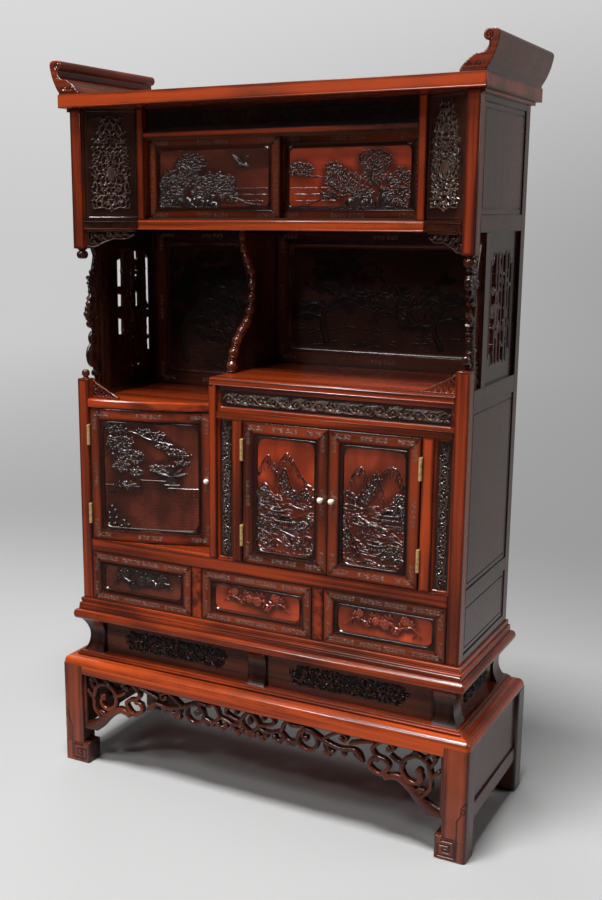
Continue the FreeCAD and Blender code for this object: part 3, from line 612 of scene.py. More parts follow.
stand_rails, end_rails = Stock(), Stock()
for corners, faces in solids("stand_rails"):
    across_end = np.ptp(corners, axis=0)[0] < np.ptp(corners, axis=0)[1]
    (end_rails if across_end else stand_rails).add(*eased(corners, faces, 0.4 * mm, 1.0))
end_rails.make("stand_end_rails", "carcase", shaded_side_wood, "rosewood", smooth=50)
bead_half, bead_height, bead_radius = 487 * mm, 249 * mm, 1.6 * mm
for face_y, out in ((leg_low.y, -1), (leg_high.y, 1)):
    bead_y = face_y - out * bead_radius
    rod(
        stand_rails, [(-bead_half, bead_y, bead_height), (bead_half, bead_y, bead_height)], bead_radius,
        (0, out, 0))
stand_rails.make("stand_rail_set", "carcase", bright_rosewood, "rosewood", ["stand_rails"], smooth=50)
boards("stand_side_boards", "stand_side_panels", shaded_side_wood)

# Apron.
# A board of rosewood sawn and carved into scrolling tendrils, rings and buds, deep beside the legs and
# shallow in the middle. It is tongued into the rail above and pinned to the legs.


def curl(middle, start_radius, end_radius, start_turn, end_turn, steps=40):
    """A spiral about a point, with its turns in degrees."""
    turns = np.radians(np.linspace(start_turn, end_turn, steps))
    radii = np.linspace(start_radius, end_radius, steps)
    return np.stack([middle[0] + radii * np.cos(turns), middle[1] + radii * np.sin(turns)], axis=1)


apron_low, apron_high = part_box("stand_apron")
half_apron = apron_high.x / mm
apron_bottom, apron_tall, apron_rise, apron_thick = 94, 152, 5, 11
apron = Carving(2 * half_apron, apron_tall, 1.25, -half_apron, apron_bottom, full=6.0)
for side in (-1, 1):
    def across(*points):
        return bend(*[(side * x, z) for x, z in points])

    for points, wide, narrow in (
            (((350, 160), (376, 165), (399, 154), (422, 135), (441, 116), (460, 104), (484, 94)), 13, 34),
            (((484, 96), (484, 246)), 10, 10), (((474, 200), (457, 180), (455, 155), (437, 134)), 9, 9),
            (((456, 190), (446, 217), (420, 227), (394, 212), (387, 188), (399, 166), (421, 161),
              (435, 176), (428, 191)), 11, 9), (((452, 206), (462, 219), (465, 232)), 9, 8),
            (((440, 221), (452, 238), (464, 244)), 9, 8),
            (((356, 226), (367, 233), (359, 243), (336, 242), (316, 222), (326, 205), (347, 199),
              (356, 185), (336, 163), (311, 175), (312, 192), (325, 197)), 10, 9),
            (((392, 200), (374, 206), (362, 214)), 8, 8), (((262, 222), (284, 229), (316, 238)), 8, 8),
            (((192, 216), (212, 230), (232, 241), (252, 234), (247, 222), (238, 226)), 8, 7),
            (((143, 230), (164, 226), (192, 213), (232, 202), (270, 206), (284, 196)), 11, 9),
            (((142, 229), (139, 214), (147, 206)), 8, 7),
            (((84, 212), (92, 232), (102, 239), (114, 232), (142, 235)), 8, 8),
            (((92, 197), (108, 191), (130, 199)), 9, 9),
            (((20, 207), (36, 200), (52, 200), (66, 205), (82, 208), (96, 196)), 8, 8),
            (((22, 212), (46, 216), (66, 227), (57, 243), (38, 241), (36, 232)), 8, 7),
            (((0, 240), (14, 231), (25, 211), (13, 198), (0, 189)), 9, 8)):
        apron.ridge(across(*points), wide, narrow, apron_rise)
    apron.ridge(curl((side * 153, 204), 25, 25, 0, 360), 9, 9, apron_rise)
    for foot, tip, wide in (
            ((416, 224), (423, 246), 15), ((268, 208), (296, 181), 18), ((196, 210), (212, 176), 17),
            ((128, 200), (112, 178), 14), ((444, 150), (412, 140), 15), ((240, 204), (250, 184), 12)):
        apron.leaf((side * foot[0], foot[1]), (side * tip[0], tip[1]), wide, apron_rise)
    for x, z, size in (
            (350, 160, 9), (428, 191, 9), (465, 233, 7), (355, 227, 7), (326, 197, 7), (238, 227, 6),
            (148, 207, 7), (37, 232, 6), (22, 190, 7), (33, 181, 8), (44, 190, 7), (66, 191, 7),
            (77, 183, 8), (88, 191, 7), (200, 184, 7), (217, 190, 6), (10, 184, 7), (104, 186, 7)):
        apron.boss((side * x, z), size, 5.5)
apron.leaf((0, 194), (0, 172), 15, 6)
apron.leaf((0, 208), (0, 232), 13, 5)
apron.ridge([(-half_apron, 243), (half_apron, 243)], 8, 8, 3)
apron_stock = Stock()
apron_place = facing_front(0, apron_low.y + 4 * mm, 0)
apron_stock.add(*apron.sheet(apron_place, apron_thick, pierced=True), along=0)
apron_wood = polished_wood(
    "apron_wood", (0.025, 0.007, 0.004, 1), (0.1, 0.018, 0.008, 1), (0.19, 0.033, 0.011, 1), 0.24)
apron_stock.make("carved_apron", "carcase", apron_wood, "rosewood", ["stand_apron"], smooth=55)

# Waist.
# Hollowed blocks of rosewood at the corners and the middle carry the case above the stand. Between them are
# dark boards, on which pierced frets of blackened wood are pinned, close-carved with curls and leaves.
# A dark rosewood, also used as painted shade on parts that lie in shadow, such as the waist blocks, the bay
# frames and the divider.
dark_and_shaded_rosewood = polished_wood(
    "dark_and_shaded_rosewood", (0.012, 0.005, 0.004, 1), (0.05, 0.012, 0.006, 1), (0.1, 0.022, 0.008, 1), 0.24)
boards("waist_blocks", "waist_posts", dark_and_shaded_rosewood, 1 * mm, along=2)
block_low, block_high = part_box("waist_posts")
foot_steps = [(0, 0), (0, 2.5), (1, 3.5), (5, 3.5), (5, 7), (6, 8), (40, 8), (40, 0)]
foot_proud, fillet_corner = 7 * mm, 3 * mm
waist_foot = Stock()
ring(waist_foot, block_high.x + foot_proud, block_high.y + foot_proud,
     [(inset * mm, block_low.z + z * mm) for inset, z in foot_steps], fillet_corner)
waist_foot.make("waist_foot_fillets", "carcase", rosewood, "rosewood")


def carved_wood(name, ground, raised_tone, rough, relief, coat=1.0):
    """Carved rosewood: a smooth ground with painted shade among crowded relief, the relief drawn darker low
    down as painted shade, and a paler painted highlight along its top.
    """
    material, shader, grain = new_finish(name)
    streaks = grain.stretch(3, 70).noise(4)
    smoke = grain.stretch(14, 14).noise(3)
    cloud = grain.stretch(6, 10).noise(2)
    height = grain.node("Attribute", {"attribute_name": "raised"}, {}, 2)
    body = streaks.between(0.3, 0.65).mix(toned(ground, 0.72), ground)
    body = (smoke.between(0.6, 0.3) * 0.65).mix(body, toned(ground, 0.4))
    body = (smoke.between(0.55, 0.75) * 0.5).mix(body, toned(ground, 1.5))
    body = (cloud.between(0.56, 0.38) * 0.75).mix(body, toned(ground, 0.3))
    crest_highlight = (smoke.between(0.45, 0.75) * 0.5).mix(raised_tone, toned(raised_tone, 2.2))
    # Painted shade on the ground among crowded relief and low on the relief, then a painted highlight along
    # the relief's top.
    body = ((0.0 - height).between(0.03, 0.36) * 0.92).mix(body, toned(ground, 0.16))
    body = height.between(0.01, relief).mix(body, toned(raised_tone, 0.3))
    body = height.between(relief + 0.1, relief + 0.5).mix(body, crest_highlight)
    bump = grain.node("Bump", {}, {"Strength": 0.2, "Distance": 0.0006, "Height": streaks + smoke})
    feed(shader, Base_Color=body, Roughness=smoke * 0.14 + (rough - 0.07), Normal=bump,
         Specular_IOR_Level=0.15 + 0.35 * coat, Coat_Weight=coat, Coat_Roughness=0.23, Coat_IOR=1.6)
    return material


black_wood = carved_wood("black_wood", (0.006, 0.004, 0.004, 1), (0.006, 0.005, 0.005, 1), 0.3, 0.3, 0.7)
waist_wood = polished_wood(
    "waist_wood", (0.045, 0.012, 0.007, 1), (0.13, 0.03, 0.014, 1), (0.2, 0.045, 0.02, 1), 0.24)
boards("waist_boards", "waist_panels", waist_wood, along=0)


def curled_fret(length, height):
    """A pierced oblong, close-set with small curls and leaves that grow from one to the next."""
    fret = Carving(length, height, 1.0, full=4.0)
    gap, margin, end_margin = 12.5, 8, 18
    for row, v in enumerate(np.linspace(margin, height - margin, 4)):
        indent = margin if row in (1, 2) else end_margin
        for u in np.arange(indent + 0.5 * gap * (row % 2), length - indent, gap):
            turn = chance.uniform(0, 360)
            fret.ridge(curl((u, v), 6.4, 1.8, turn, turn + 330 * chance.choice((-1, 1))), 2.4, 1.8, 4)
            lean = math.radians(turn)
            fret.leaf((u, v), (u + 10 * math.cos(lean), v + 6 * math.sin(lean)), 4.4, 3.6)
    return fret


waist_low, waist_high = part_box("waist_panels")
fret_bottom, fret_tall, fret_wide, end_fret_wide = 317 * mm, 52, 306, 180
fret_middles = (-232 * mm, 236 * mm)
frets = Stock()
for middle_x in fret_middles:
    for front_y, spread in ((waist_low.y, 1), (waist_high.y, -1)):
        fret = curled_fret(fret_wide, fret_tall)
        place = facing_front(middle_x - spread * fret_wide / 2 * mm, front_y, fret_bottom, spread)
        corners, faces, raised = fret.sheet(place, 0, pierced=True)
        if spread < 0:
            corners[:, 1] = 2 * front_y - corners[:, 1]
        frets.add(corners, faces, raised)
for side in (-1, 1):
    def facing_side(u, v, rise):
        return side * (waist_high.x + rise * mm), side * (u - end_fret_wide / 2) * mm, fret_bottom + v * mm

    frets.add(*curled_fret(end_fret_wide, fret_tall).sheet(facing_side, 0, pierced=True))
frets.make("waist_frets", "carcase", black_wood, "carved_rosewood", smooth=55)

# Base mouldings.
# A half-round of rosewood under a run of small fillets, each mitred round the four sides and glued to the
# floor of the case, which is a plain board.
torus_low, torus_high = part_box("torus_moulding")
torus_radius = (torus_high.z - torus_low.z) / 2
round_edge = [
    (torus_radius * (1 - math.cos(turn)), torus_low.z + torus_radius * (1 + math.sin(turn)))
    for turn in np.linspace(-math.pi / 2, math.pi / 2, 13)]
torus = Stock()
torus_deep, torus_corner = 60 * mm, 8 * mm
ring(torus, torus_high.x, torus_high.y, round_edge + [(torus_deep, torus_high.z), (torus_deep, torus_low.z)],
     torus_corner)
torus.make("base_half_round", "carcase", rosewood, "rosewood", ["torus_moulding"], smooth=40)

step_low, step_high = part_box("step_moulding")
fillets = [
    (2, 0), (0, 1.5), (0, 9), (1.6, 10.5), (1.6, 11.5), (0.6, 12.5), (0.6, 14), (2, 15.5), (5, 15.5),
    (5, 18), (6.4, 19), (6.4, 20), (5, 21), (5, 27.5), (6.5, 29), (50, 29), (50, 0)]
steps = Stock()
ring(
    steps, step_high.x, step_high.y, [(inset * mm, step_low.z + z * mm) for inset, z in fillets],
    fillet_corner)
steps.make("base_fillets", "carcase", rosewood, "rosewood", ["step_moulding"])


def plain_wood(name, tone):
    """Planed, unpolished boards for what is only seen when the cabinet is open or from behind."""
    material, shader, grain = new_finish(name)
    streaks = grain.stretch(2.5, 60).noise(4)
    fuzz = grain.stretch(90, 900).noise(2)
    body = streaks.between(0.3, 0.7).mix(toned(tone, 0.5), tone)
    bump = grain.node("Bump", {}, {"Strength": 0.25, "Distance": 0.0005, "Height": fuzz + streaks})
    feed(shader, Base_Color=body, Roughness=fuzz * 0.15 + 0.5, Normal=bump, Specular_IOR_Level=0.25)
    return material


inner_wood = plain_wood("inner_wood", (0.11, 0.042, 0.02, 1))
boards("floor_of_case", "case_floor", inner_wood, slot="inner_wood")

# Case frame.
# Square rosewood posts at the corners, the front pair in two lengths, with rails tenoned between them at
# the sides. The thin side panels have a groove run round them a finger's width from the edge.
post_wood = polished_wood(
    "post_wood", (0.06, 0.01, 0.005, 1), (0.28, 0.035, 0.008, 1), (0.48, 0.064, 0.011, 1), 0.24, 0.35)
boards("front_post_set", "front_posts", post_wood, 2.2 * mm, along=2)
boards("back_post_set", "back_posts", shaded_side_wood, 1.6 * mm, along=2)
boards("side_rail_set", "side_rails", shaded_side_wood, 1 * mm)


def block(low, high, ease):
    """A squared block of wood with eased edges."""
    corners = [(x, y, z) for x in (low[0], high[0]) for y in (low[1], high[1]) for z in (low[2], high[2])]
    faces = [[0, 1, 3, 2], [4, 6, 7, 5], [0, 4, 5, 1], [2, 3, 7, 6], [0, 2, 6, 4], [1, 5, 7, 3]]
    return eased(corners, faces, ease)


def grooved(stock, corners, faces, margin=13 * mm, groove=2 * mm, proud=1.4 * mm):
    """A side panel: its board, and a facing on the outer side cut by a groove that runs round it."""
    stock.add(*eased(corners, faces, 0.5 * mm))
    low, high = np.min(corners, axis=0), np.max(corners, axis=0)
    outer = (high[0], high[0] + proud) if high[0] > 0 else (low[0] - proud, low[0])
    rim = margin - groove
    for y0, y1, z0, z1 in (
            (low[1], low[1] + rim, low[2], high[2]), (high[1] - rim, high[1], low[2], high[2]),
            (low[1] + rim, high[1] - rim, low[2], low[2] + rim),
            (low[1] + rim, high[1] - rim, high[2] - rim, high[2]),
            (low[1] + margin, high[1] - margin, low[2] + margin, high[2] - margin)):
        stock.add(*block((outer[0], y0, z0), (outer[1], y1, z1), 0.5 * mm), along=2)


side_panels = Stock()
for corners, faces in solids("side_panels"):
    grooved(side_panels, corners, faces)
side_panels.make("side_panel_set", "carcase", shaded_side_wood, "rosewood", ["side_panels"])
boards("back_boards", "back_panels", inner_wood, slot="inner_wood", along=2)

# Post ends.
# A turned ball finial on the short left post, and a turned bun hanging under each upper post, all dowelled
# on.


def turned(stock, middle, profile, steps=24):
    """A turning about an upright axis, from (radius, height) points."""
    turns = np.linspace(0, 2 * math.pi, steps, endpoint=False)
    loops = [
        [(middle[0] + radius * math.cos(turn), middle[1] + radius * math.sin(turn), height)
         for turn in turns] for radius, height in profile]
    stock.add(*skinned(loops), along=2)


turnings, finial_below = Stock(), 1.1
for corners, faces in solids("post_turnings"):
    low, high = np.min(corners, axis=0), np.max(corners, axis=0)
    middle = (low + high) / 2
    wide, tall = (high[0] - low[0]) / 2, high[2] - low[2]
    outline = bend(
        (0.5, 0), (0.82, 0.1), (1, 0.38), (0.9, 0.66), (0.6, 0.78), (0.56, 0.84), (0.8, 0.9), (0.8, 0.99))
    outline[:, 0] = np.clip(outline[:, 0], 0, 1)
    if middle[2] < finial_below:
        outline = outline[::-1] * (1, -1) + (0, 1)
    turned(turnings, middle, [(wide * r, low[2] + tall * np.clip(z, 0, 1)) for r, z in outline])
turnings.make("post_finials", "carcase", dark_and_shaded_rosewood, "rosewood", ["post_turnings"], smooth=40)

# Drawers.
# Three drawers side by side, parted by short dividers under a rail. Each front is a mitred frame inlaid
# with pale leaf scrolls, a moulded lip with rounded corners, and a panel carved with fruit or flowers; the
# box is plain wood.
boards("drawer_rail_and_dividers", "drawer_frame", ease=1 * mm)
frame_wood = polished_wood(
    "frame_wood", (0.03, 0.007, 0.004, 1), (0.16, 0.024, 0.007, 1), (0.32, 0.044, 0.01, 1), 0.24)


def lip(stock, place, width, height, reach, corner, profile):
    """A moulded lip in an opening, square outside and round-cornered inside; its section is (share, rise)."""
    turns = np.linspace(0, math.pi / 2, 7)
    inner, outer = [], []
    for quarter, (sign_u, sign_v) in enumerate(((1, 1), (-1, 1), (-1, -1), (1, -1))):
        middle_u = width - reach - corner if sign_u > 0 else reach + corner
        middle_v = height - reach - corner if sign_v > 0 else reach + corner
        for turn in turns + quarter * math.pi / 2:
            way = np.array([math.cos(turn), math.sin(turn)])
            inner.append((middle_u, middle_v) + corner * way)
            outer.append((middle_u, middle_v) + (corner + reach) * way / max(abs(way)))
    inner, outer = np.array(inner), np.array(outer)
    floor = profile[-1][1]
    count = len(inner)
    loops = [np.column_stack([outer, np.full(count, floor)])]
    for share, rise in profile:
        loops.append(np.column_stack([outer + share * (inner - outer), np.full(count, rise)]))
    corners = np.stack(place(*np.concatenate(loops).T), axis=1)
    stock.add(*skinned(corners.reshape(len(loops), count, 3), joined=True))


def silver_inlay(name):
    """Thin inlay of greyed metal let into the wood."""
    material, shader, grain = new_finish(name)
    tarnish = grain.stretch(60, 60).noise(3)
    body = tarnish.between(0.35, 0.7).mix((0.07, 0.038, 0.026, 1), (0.26, 0.19, 0.14, 1))
    feed(shader, Base_Color=body, Roughness=tarnish * 0.3 + 0.3, Metallic=tarnish * 0.4)
    return material


inlay_metal = silver_inlay("inlay_metal")
lip_wood = polished_wood(
    "lip_wood", (0.01, 0.004, 0.003, 1), (0.035, 0.009, 0.005, 1), (0.075, 0.015, 0.007, 1), 0.16)


# The strokes in one bend of the inlay: how thick, and points as (share of the bend, lift).
scroll_strokes = (
    (0.5, ((0, 0), (0.3, 1.8), (0.7, 1.6), (1, 0))), (0.62, ((0.3, 1.8), (0.6, 4.6), (1, 4))),
    (0.62, ((0.6, 1.5), (0.7, -1), (1.1, -3.6))), (0.55, ((0.1, -1), (0.4, -3.8), (0.8, -4.2))))


def leaf_scroll(stock, place, middle, way, length, proud=0.1):
    """Inlay: a waving stem from a bud, with leaves to both sides, laid along one way from its middle."""
    way = np.asarray(way, float)
    across = np.array([-way[1], way[0]])
    bends = max(1, round(length / 9))
    step = length / bends
    for count in range(bends):
        start = count * step
        flip = 1 if count % 2 == 0 else -1
        for thick, points in scroll_strokes:
            line = bend(*[(start + share * step, lift * flip) for share, lift in points], steps=3)
            line = np.array(middle) + line[:, :1] * way + line[:, 1:] * across
            radii = thick * np.sin(np.pi * np.linspace(0.12, 0.9, len(line))) ** 0.7
            line = np.column_stack([line, np.full(len(line), proud)])
            rod(stock, line, radii, (0, 0, 1), rings=4, place=place)


def frame_inlay(stock, place, width, height, stile, corner_reach, middle_reach):
    """Inlay for a mitred frame: leaf scrolls out of each corner and from the middle of each member."""
    half = stile / 2
    for u, side in ((half, 1), (width - half, -1)):
        for v, rise in ((half, 1), (height - half, -1)):
            leaf_scroll(stock, place, (u, v), (side, 0), corner_reach)
            leaf_scroll(stock, place, (u, v), (0, rise), min(corner_reach, 0.3 * height))
    for v in (half, height - half):
        for side in (1, -1):
            leaf_scroll(stock, place, (width / 2 + side, v), (side, 0), middle_reach)
    if height > 150:
        for u in (half, width - half):
            for rise in (1, -1):
                leaf_scroll(stock, place, (u, height / 2 + rise), (0, rise), middle_reach)


dark_carving = carved_wood("dark_carving", (0.16, 0.028, 0.011, 1), (0.024, 0.012, 0.009, 1), 0.2, 0.1)
red_carving = carved_wood("red_carving", (0.52, 0.054, 0.007, 1), (0.034, 0.014, 0.009, 1), 0.24, 0.12)
drawer_carving = carved_wood("drawer_carving", (0.54, 0.062, 0.01, 1), (0.24, 0.036, 0.012, 1), 0.24, 0.2)
brown_carving = carved_wood("brown_carving", (0.34, 0.044, 0.011, 1), (0.028, 0.013, 0.009, 1), 0.24, 0.12)


def blossom(art, middle, radius, rise, petals=6):
    """An open flower: petals round a raised eye."""
    for petal in range(petals):
        turn = 2 * math.pi * petal / petals + 0.3
        spot = (middle[0] + 0.55 * radius * math.cos(turn), middle[1] + 0.55 * radius * math.sin(turn))
        art.boss(spot, 0.5 * radius, rise)
    art.boss(middle, 0.3 * radius, rise * 1.15)


def fruit_spray(art, foot, size, way):
    """A fruiting branch: a bent stem with leaves, flowers and round fruit, reaching one way."""
    foot = np.array(foot, float)
    stem = bend(foot, foot + (0.25 * way * size, 0.18 * size), foot + (0.55 * way * size, 0.1 * size),
                foot + (0.8 * way * size, 0.26 * size), foot + (1.0 * way * size, 0.18 * size))
    art.ridge(stem, 3.4, 2.0, 3.4)
    for share in (0.12, 0.3, 0.42, 0.58, 0.72, 0.86, 0.98):
        spot = stem[int(share * (len(stem) - 1))]
        for lift in (1, -1):
            lean = chance.uniform(0.04, 0.15) * size * way
            art.leaf(
                spot, spot + (lean, lift * chance.uniform(0.08, 0.17) * size), chance.uniform(5, 8), 3.6)
    for share, lift in ((0.2, 0.12), (0.5, -0.1), (0.64, 0.15)):
        spot = stem[int(share * (len(stem) - 1))] + (0.03 * size * way, lift * size)
        art.boss(spot, 0.08 * size, 4.8, 1.0, 7, 0.25)
    for share, lift in ((0.36, 0.15), (0.8, -0.11)):
        spot = stem[int(share * (len(stem) - 1))] + (0, lift * size)
        blossom(art, spot, 0.125 * size, 4.6)


def carved_piece(name, body, finish, sheet, stands_for=(), along=None, smooth=60):
    """One carved sheet made into a piece."""
    Stock().add(*sheet, along=along).make(name, body, finish, "carved_rosewood", stands_for, smooth)


def lip_and_inlay(name, place, wide, tall, stile, reach, corner, section, corner_scroll, middle_scroll):
    """The moulded lip in a mitred frame's opening and the inlay on its members."""
    def field(u, v, rise):
        return place(u + stile, v + stile, rise)

    lips, inlay = Stock(), Stock()
    lip(lips, field, wide - 2 * stile, tall - 2 * stile, reach, corner, section)
    lips.make(name + "_lip", name, lip_wood, "rosewood", smooth=40)
    frame_inlay(inlay, place, wide, tall, stile, corner_scroll, middle_scroll)
    inlay.make(name + "_inlay", name, inlay_metal, "brass", smooth=60)


frame_section = (
    (0, -0.5), (0.16, -0.6), (0.22, -2.4), (0.34, -2.6), (0.44, -1.4), (0.6, -0.9), (0.76, -1.5),
    (0.9, -3.4), (1, -6.9))
drawer_stile, drawer_corner, lip_reach, panel_recess, panel_thick = 24, 14, 10, 7, 9
for drawer, finish, way in (
        ("drawer_1", dark_carving, 1), ("drawer_2", drawer_carving, -1), ("drawer_3", drawer_carving, -1)):
    front_node = drawer + "_front"
    low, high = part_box(front_node)
    wide, tall = (high.x - low.x) / mm, (high.z - low.z) / mm
    members = Stock()
    for corners, faces in solids(front_node):
        if min(corner[1] for corner in corners) < low.y + 2 * mm:
            members.add(*eased(corners, faces, 0.5 * mm))
    members.make(drawer + "_frame", drawer, frame_wood, "rosewood", [front_node])
    lip_and_inlay(
        drawer, facing_front(low.x, low.y, low.z), wide, tall, drawer_stile, lip_reach, drawer_corner,
        frame_section, 64, 54)
    open_wide, open_tall = wide - 2 * drawer_stile, tall - 2 * drawer_stile
    art = Carving(open_wide, open_tall, 0.8, full=5.0, shade_reach=18)
    fruit_spray(art, (open_wide * (0.5 - 0.36 * way), open_tall * 0.34), 0.42 * open_wide, way)
    fruit_spray(art, (open_wide * (0.5 + 0.36 * way), open_tall * 0.42), 0.34 * open_wide, -way)
    ground = facing_front(low.x + drawer_stile * mm, low.y + panel_recess * mm, low.z + drawer_stile * mm)
    carved_piece(drawer + "_carving", drawer, finish, art.sheet(ground, panel_thick), along=0)
    boards(drawer + "_case", drawer + "_box", inner_wood, 0.6 * mm, "inner_wood")

# Left cupboard.
# A shelf with a bowed front over a bowed door. The door is a curved frame of rosewood with inlay and a
# moulded lip round a carved garden scene; it hangs on two brass butts and has a turned bone knob.


def edged_shelf(name, node, beads):
    """A shelf board with a bead worked along its front edge."""
    stock = Stock()
    for corners, faces in solids(node):
        stock.add(*eased(corners, faces, 4 * mm, 1.0), along=0)
    for line in beads:
        rod(stock, line, 1.5 * mm, (0, -1, 0))
    return stock.make(name, "carcase", rosewood, "rosewood", [node])


bow_middle_x, bow_middle_y, bow_radius = -588.3, 895.8, 1079.4


def bowed(start_turn, bottom, set_back=0.0):
    """A rule for the bowed front: u along the curve from a turn in radians, v up, rise outwards."""
    def place(u, v, rise):
        turn = start_turn + u / bow_radius
        radius = bow_radius - set_back + rise
        x, y = bow_middle_x + radius * np.sin(turn), bow_middle_y - radius * np.cos(turn)
        return x * mm, y * mm, bottom + v * mm
    return place


def bow_turn(x):
    """The turn at which the bowed front has that x."""
    return math.asin((x / mm - bow_middle_x) / bow_radius)


shelf_low, shelf_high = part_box("left_shelf")
shelf_start, shelf_end = bow_turn(-0.47), bow_turn(-0.125)
shelf_rule = bowed(shelf_start, shelf_low.z)
shelf_run = (shelf_end - shelf_start) * bow_radius
bead_steps, bead_proud = 24, 0.2
shelf_beads = [
    np.stack(shelf_rule(np.linspace(0, shelf_run, bead_steps), np.full(bead_steps, height),
                        np.full(bead_steps, bead_proud)), axis=1) for height in (4.0, 17.5)]
edged_shelf("left_shelf_board", "left_shelf", shelf_beads)


def foliage(art, middle, wide, tall, rise=4.0):
    """The crown of a tree or a bush: small uneven tufts, set out together with the crowns beside it."""
    gap, row_gap = 5.4, 4.6
    for row in range(round((middle[1] - tall / 2) / row_gap), round((middle[1] + tall / 2) / row_gap) + 1):
        for column in range(round((middle[0] - wide / 2) / gap), round((middle[0] + wide / 2) / gap) + 1):
            u, v = (column + 0.5 * (row % 2)) * gap, row * row_gap
            out = (2 * (u - middle[0]) / wide) ** 2 + (2 * (v - middle[1]) / tall) ** 2
            if (row, column) not in art.tufts and out < chance.uniform(0.6, 1.3):
                art.tufts.add((row, column))
                spot = (u + chance.uniform(-1.9, 1.9), v + chance.uniform(-2.1, 2.1))
                art.boss(
                    spot, chance.uniform(1.9, 3.4), rise * chance.uniform(0.4, 1), chance.uniform(0.7, 1.3))


def water(art, left, right, bottom, top, gap, rise=1.3):
    """Still water: short level lines in rows."""
    for level in np.arange(bottom, top, gap):
        start = left + chance.uniform(0, 12)
        while start < right - 6:
            end = min(start + chance.uniform(14, 46), right)
            art.ridge(bend((start, level), ((start + end) / 2, level + 0.7), (end, level)), 1.5, 1.2, rise)
            start = end + chance.uniform(4, 12)


def fence(art, points, tall, gap, rise=3.0):
    """A garden wall: two rails over a band of tile lattice, following a stepped line."""
    for (start_u, start_v), (end_u, end_v) in zip(points, points[1:]):
        for lift, height in ((0, 0.2), (0.5 * tall, 0.2), (tall, 0.5)):
            art.ridge([(start_u, start_v + lift), (end_u, end_v + lift)], 1.6, 1.6, height * rise)
        for spot in np.arange(0, 1, gap / max(math.hypot(end_u - start_u, end_v - start_v), gap)):
            u, v = start_u + spot * (end_u - start_u), start_v + spot * (end_v - start_v)
            art.ridge([(u, v), (u + 0.5 * gap, v + 0.5 * tall), (u, v + tall)], 1.3, 1.3, 0.3 * rise)
            art.ridge(
                [(u + 0.5 * gap, v), (u, v + 0.5 * tall), (u + 0.5 * gap, v + tall)], 1.3, 1.3, 0.3 * rise)


def finish_node(node, material):
    """Puts a finish on a CAD node and gives it grain to follow."""
    mesh = frame["nodes"][node].data
    spots = np.empty(3 * len(mesh.vertices), np.float32)
    mesh.vertices.foreach_get("co", spots)
    mesh.attributes.new("grain", "FLOAT_VECTOR", "POINT").data.foreach_set("vector", spots)
    for slot in frame["nodes"][node].material_slots:
        slot.material = material


def brass_finish(name):
    """Rolled brass, dulled to brown in patches."""
    material, shader, grain = new_finish(name)
    patches = grain.stretch(120, 120).noise(4)
    scratches = grain.stretch(900, 90).noise(2)
    body = patches.between(0.4, 0.75).mix((0.78, 0.52, 0.22, 1), (0.42, 0.24, 0.09, 1))
    bump = grain.node("Bump", {}, {"Strength": 0.15, "Distance": 0.0002, "Height": scratches})
    feed(shader, Base_Color=body, Metallic=0.45, Roughness=patches * 0.3 + 0.3, Normal=bump)
    return material


def bone_finish(name):
    """Turned bone: cream with fine darker lines and a soft polish."""
    material, shader, grain = new_finish(name)
    lines = grain.stretch(300, 1600).noise(2)
    body = lines.between(0.4, 0.75).mix((0.95, 0.87, 0.66, 1), (0.7, 0.56, 0.36, 1))
    feed(shader, Base_Color=body, Roughness=lines * 0.15 + 0.25)
    return material


brass = brass_finish("brass")
bone = bone_finish("bone")
finish_node("hinge_frame_leaves", brass)
door_stile, door_corner = 26, 20


def hung_door(door, finish, place, ground, wide, tall, art):
    """A door: its frame, lip, inlay and carving, with brass on its hinges and bone on its knob."""
    boards(door + "_members", door + "_frame", frame_wood, 0.5 * mm)
    lip_and_inlay(door, place, wide, tall, door_stile, lip_reach, door_corner, frame_section, 40, 30)
    carved_piece(door + "_carving", door, finish, art.sheet(ground, panel_thick), [door + "_panel"], along=2)
    for part, material in (("_hinges", brass), ("_knob", bone)):
        finish_node(door + part, material)


bow_right = -0.163
bow_low, bow_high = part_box("left_door_frame")
bow_start = bow_turn(bow_low.x)
bow_end = bow_turn(bow_right)
bow_wide = (bow_end - bow_start) * bow_radius
bow_tall = (bow_high.z - bow_low.z) / mm
garden = Carving(bow_wide - 2 * door_stile, bow_tall - 2 * door_stile, 0.9, full=5.0, shade_reach=24)
across, up = garden.u.max(), garden.v.max()
garden.ridge(
    bend(
        (6, 0.66 * up), (0.16 * across, 0.8 * up), (0.3 * across, 0.9 * up), (0.5 * across, 0.84 * up),
        (0.72 * across, 0.8 * up)), 3.2, 2.0, 2.4)
garden.ridge(
    bend(
        (0.1 * across, 0.36 * up), (0.2 * across, 0.5 * up), (0.14 * across, 0.64 * up),
        (0.22 * across, 0.8 * up)), 7, 3, 3.8)
for spot_u, spot_v, wide, tall in (
        (0.17, 0.92, 54, 22), (0.2, 0.8, 72, 40), (0.28, 0.68, 82, 40), (0.2, 0.58, 50, 30),
        (0.36, 0.54, 40, 22), (0.26, 0.42, 46, 18), (0.44, 0.9, 40, 18), (0.58, 0.87, 36, 26),
        (0.64, 0.78, 46, 18), (0.76, 0.73, 56, 18), (0.86, 0.7, 26, 12)):
    foliage(garden, (spot_u * across, spot_v * up), wide, tall, 4.4)
fence(
    garden,
    [(6, 0.34 * up), (0.4 * across, 0.34 * up), (0.4 * across, 0.4 * up), (0.66 * across, 0.4 * up),
     (0.66 * across, 0.34 * up), (across - 6, 0.34 * up)], 20, 12)
garden.ridge([(0.64 * across, 0.44 * up), (0.78 * across, 0.44 * up)], 3.4, 3.4, 2.6)
garden.boss((0.71 * across, 0.49 * up), 15, 4.6, 0.8, 6, 0.2)
for lean in np.linspace(-0.16, 0.16, 7):
    garden.leaf((0.71 * across, 0.52 * up), ((0.71 + lean) * across, (0.66 - abs(lean) ** 1.2) * up), 6, 4)
foliage(garden, (0.62 * across, 0.58 * up), 70, 22, 4.2)
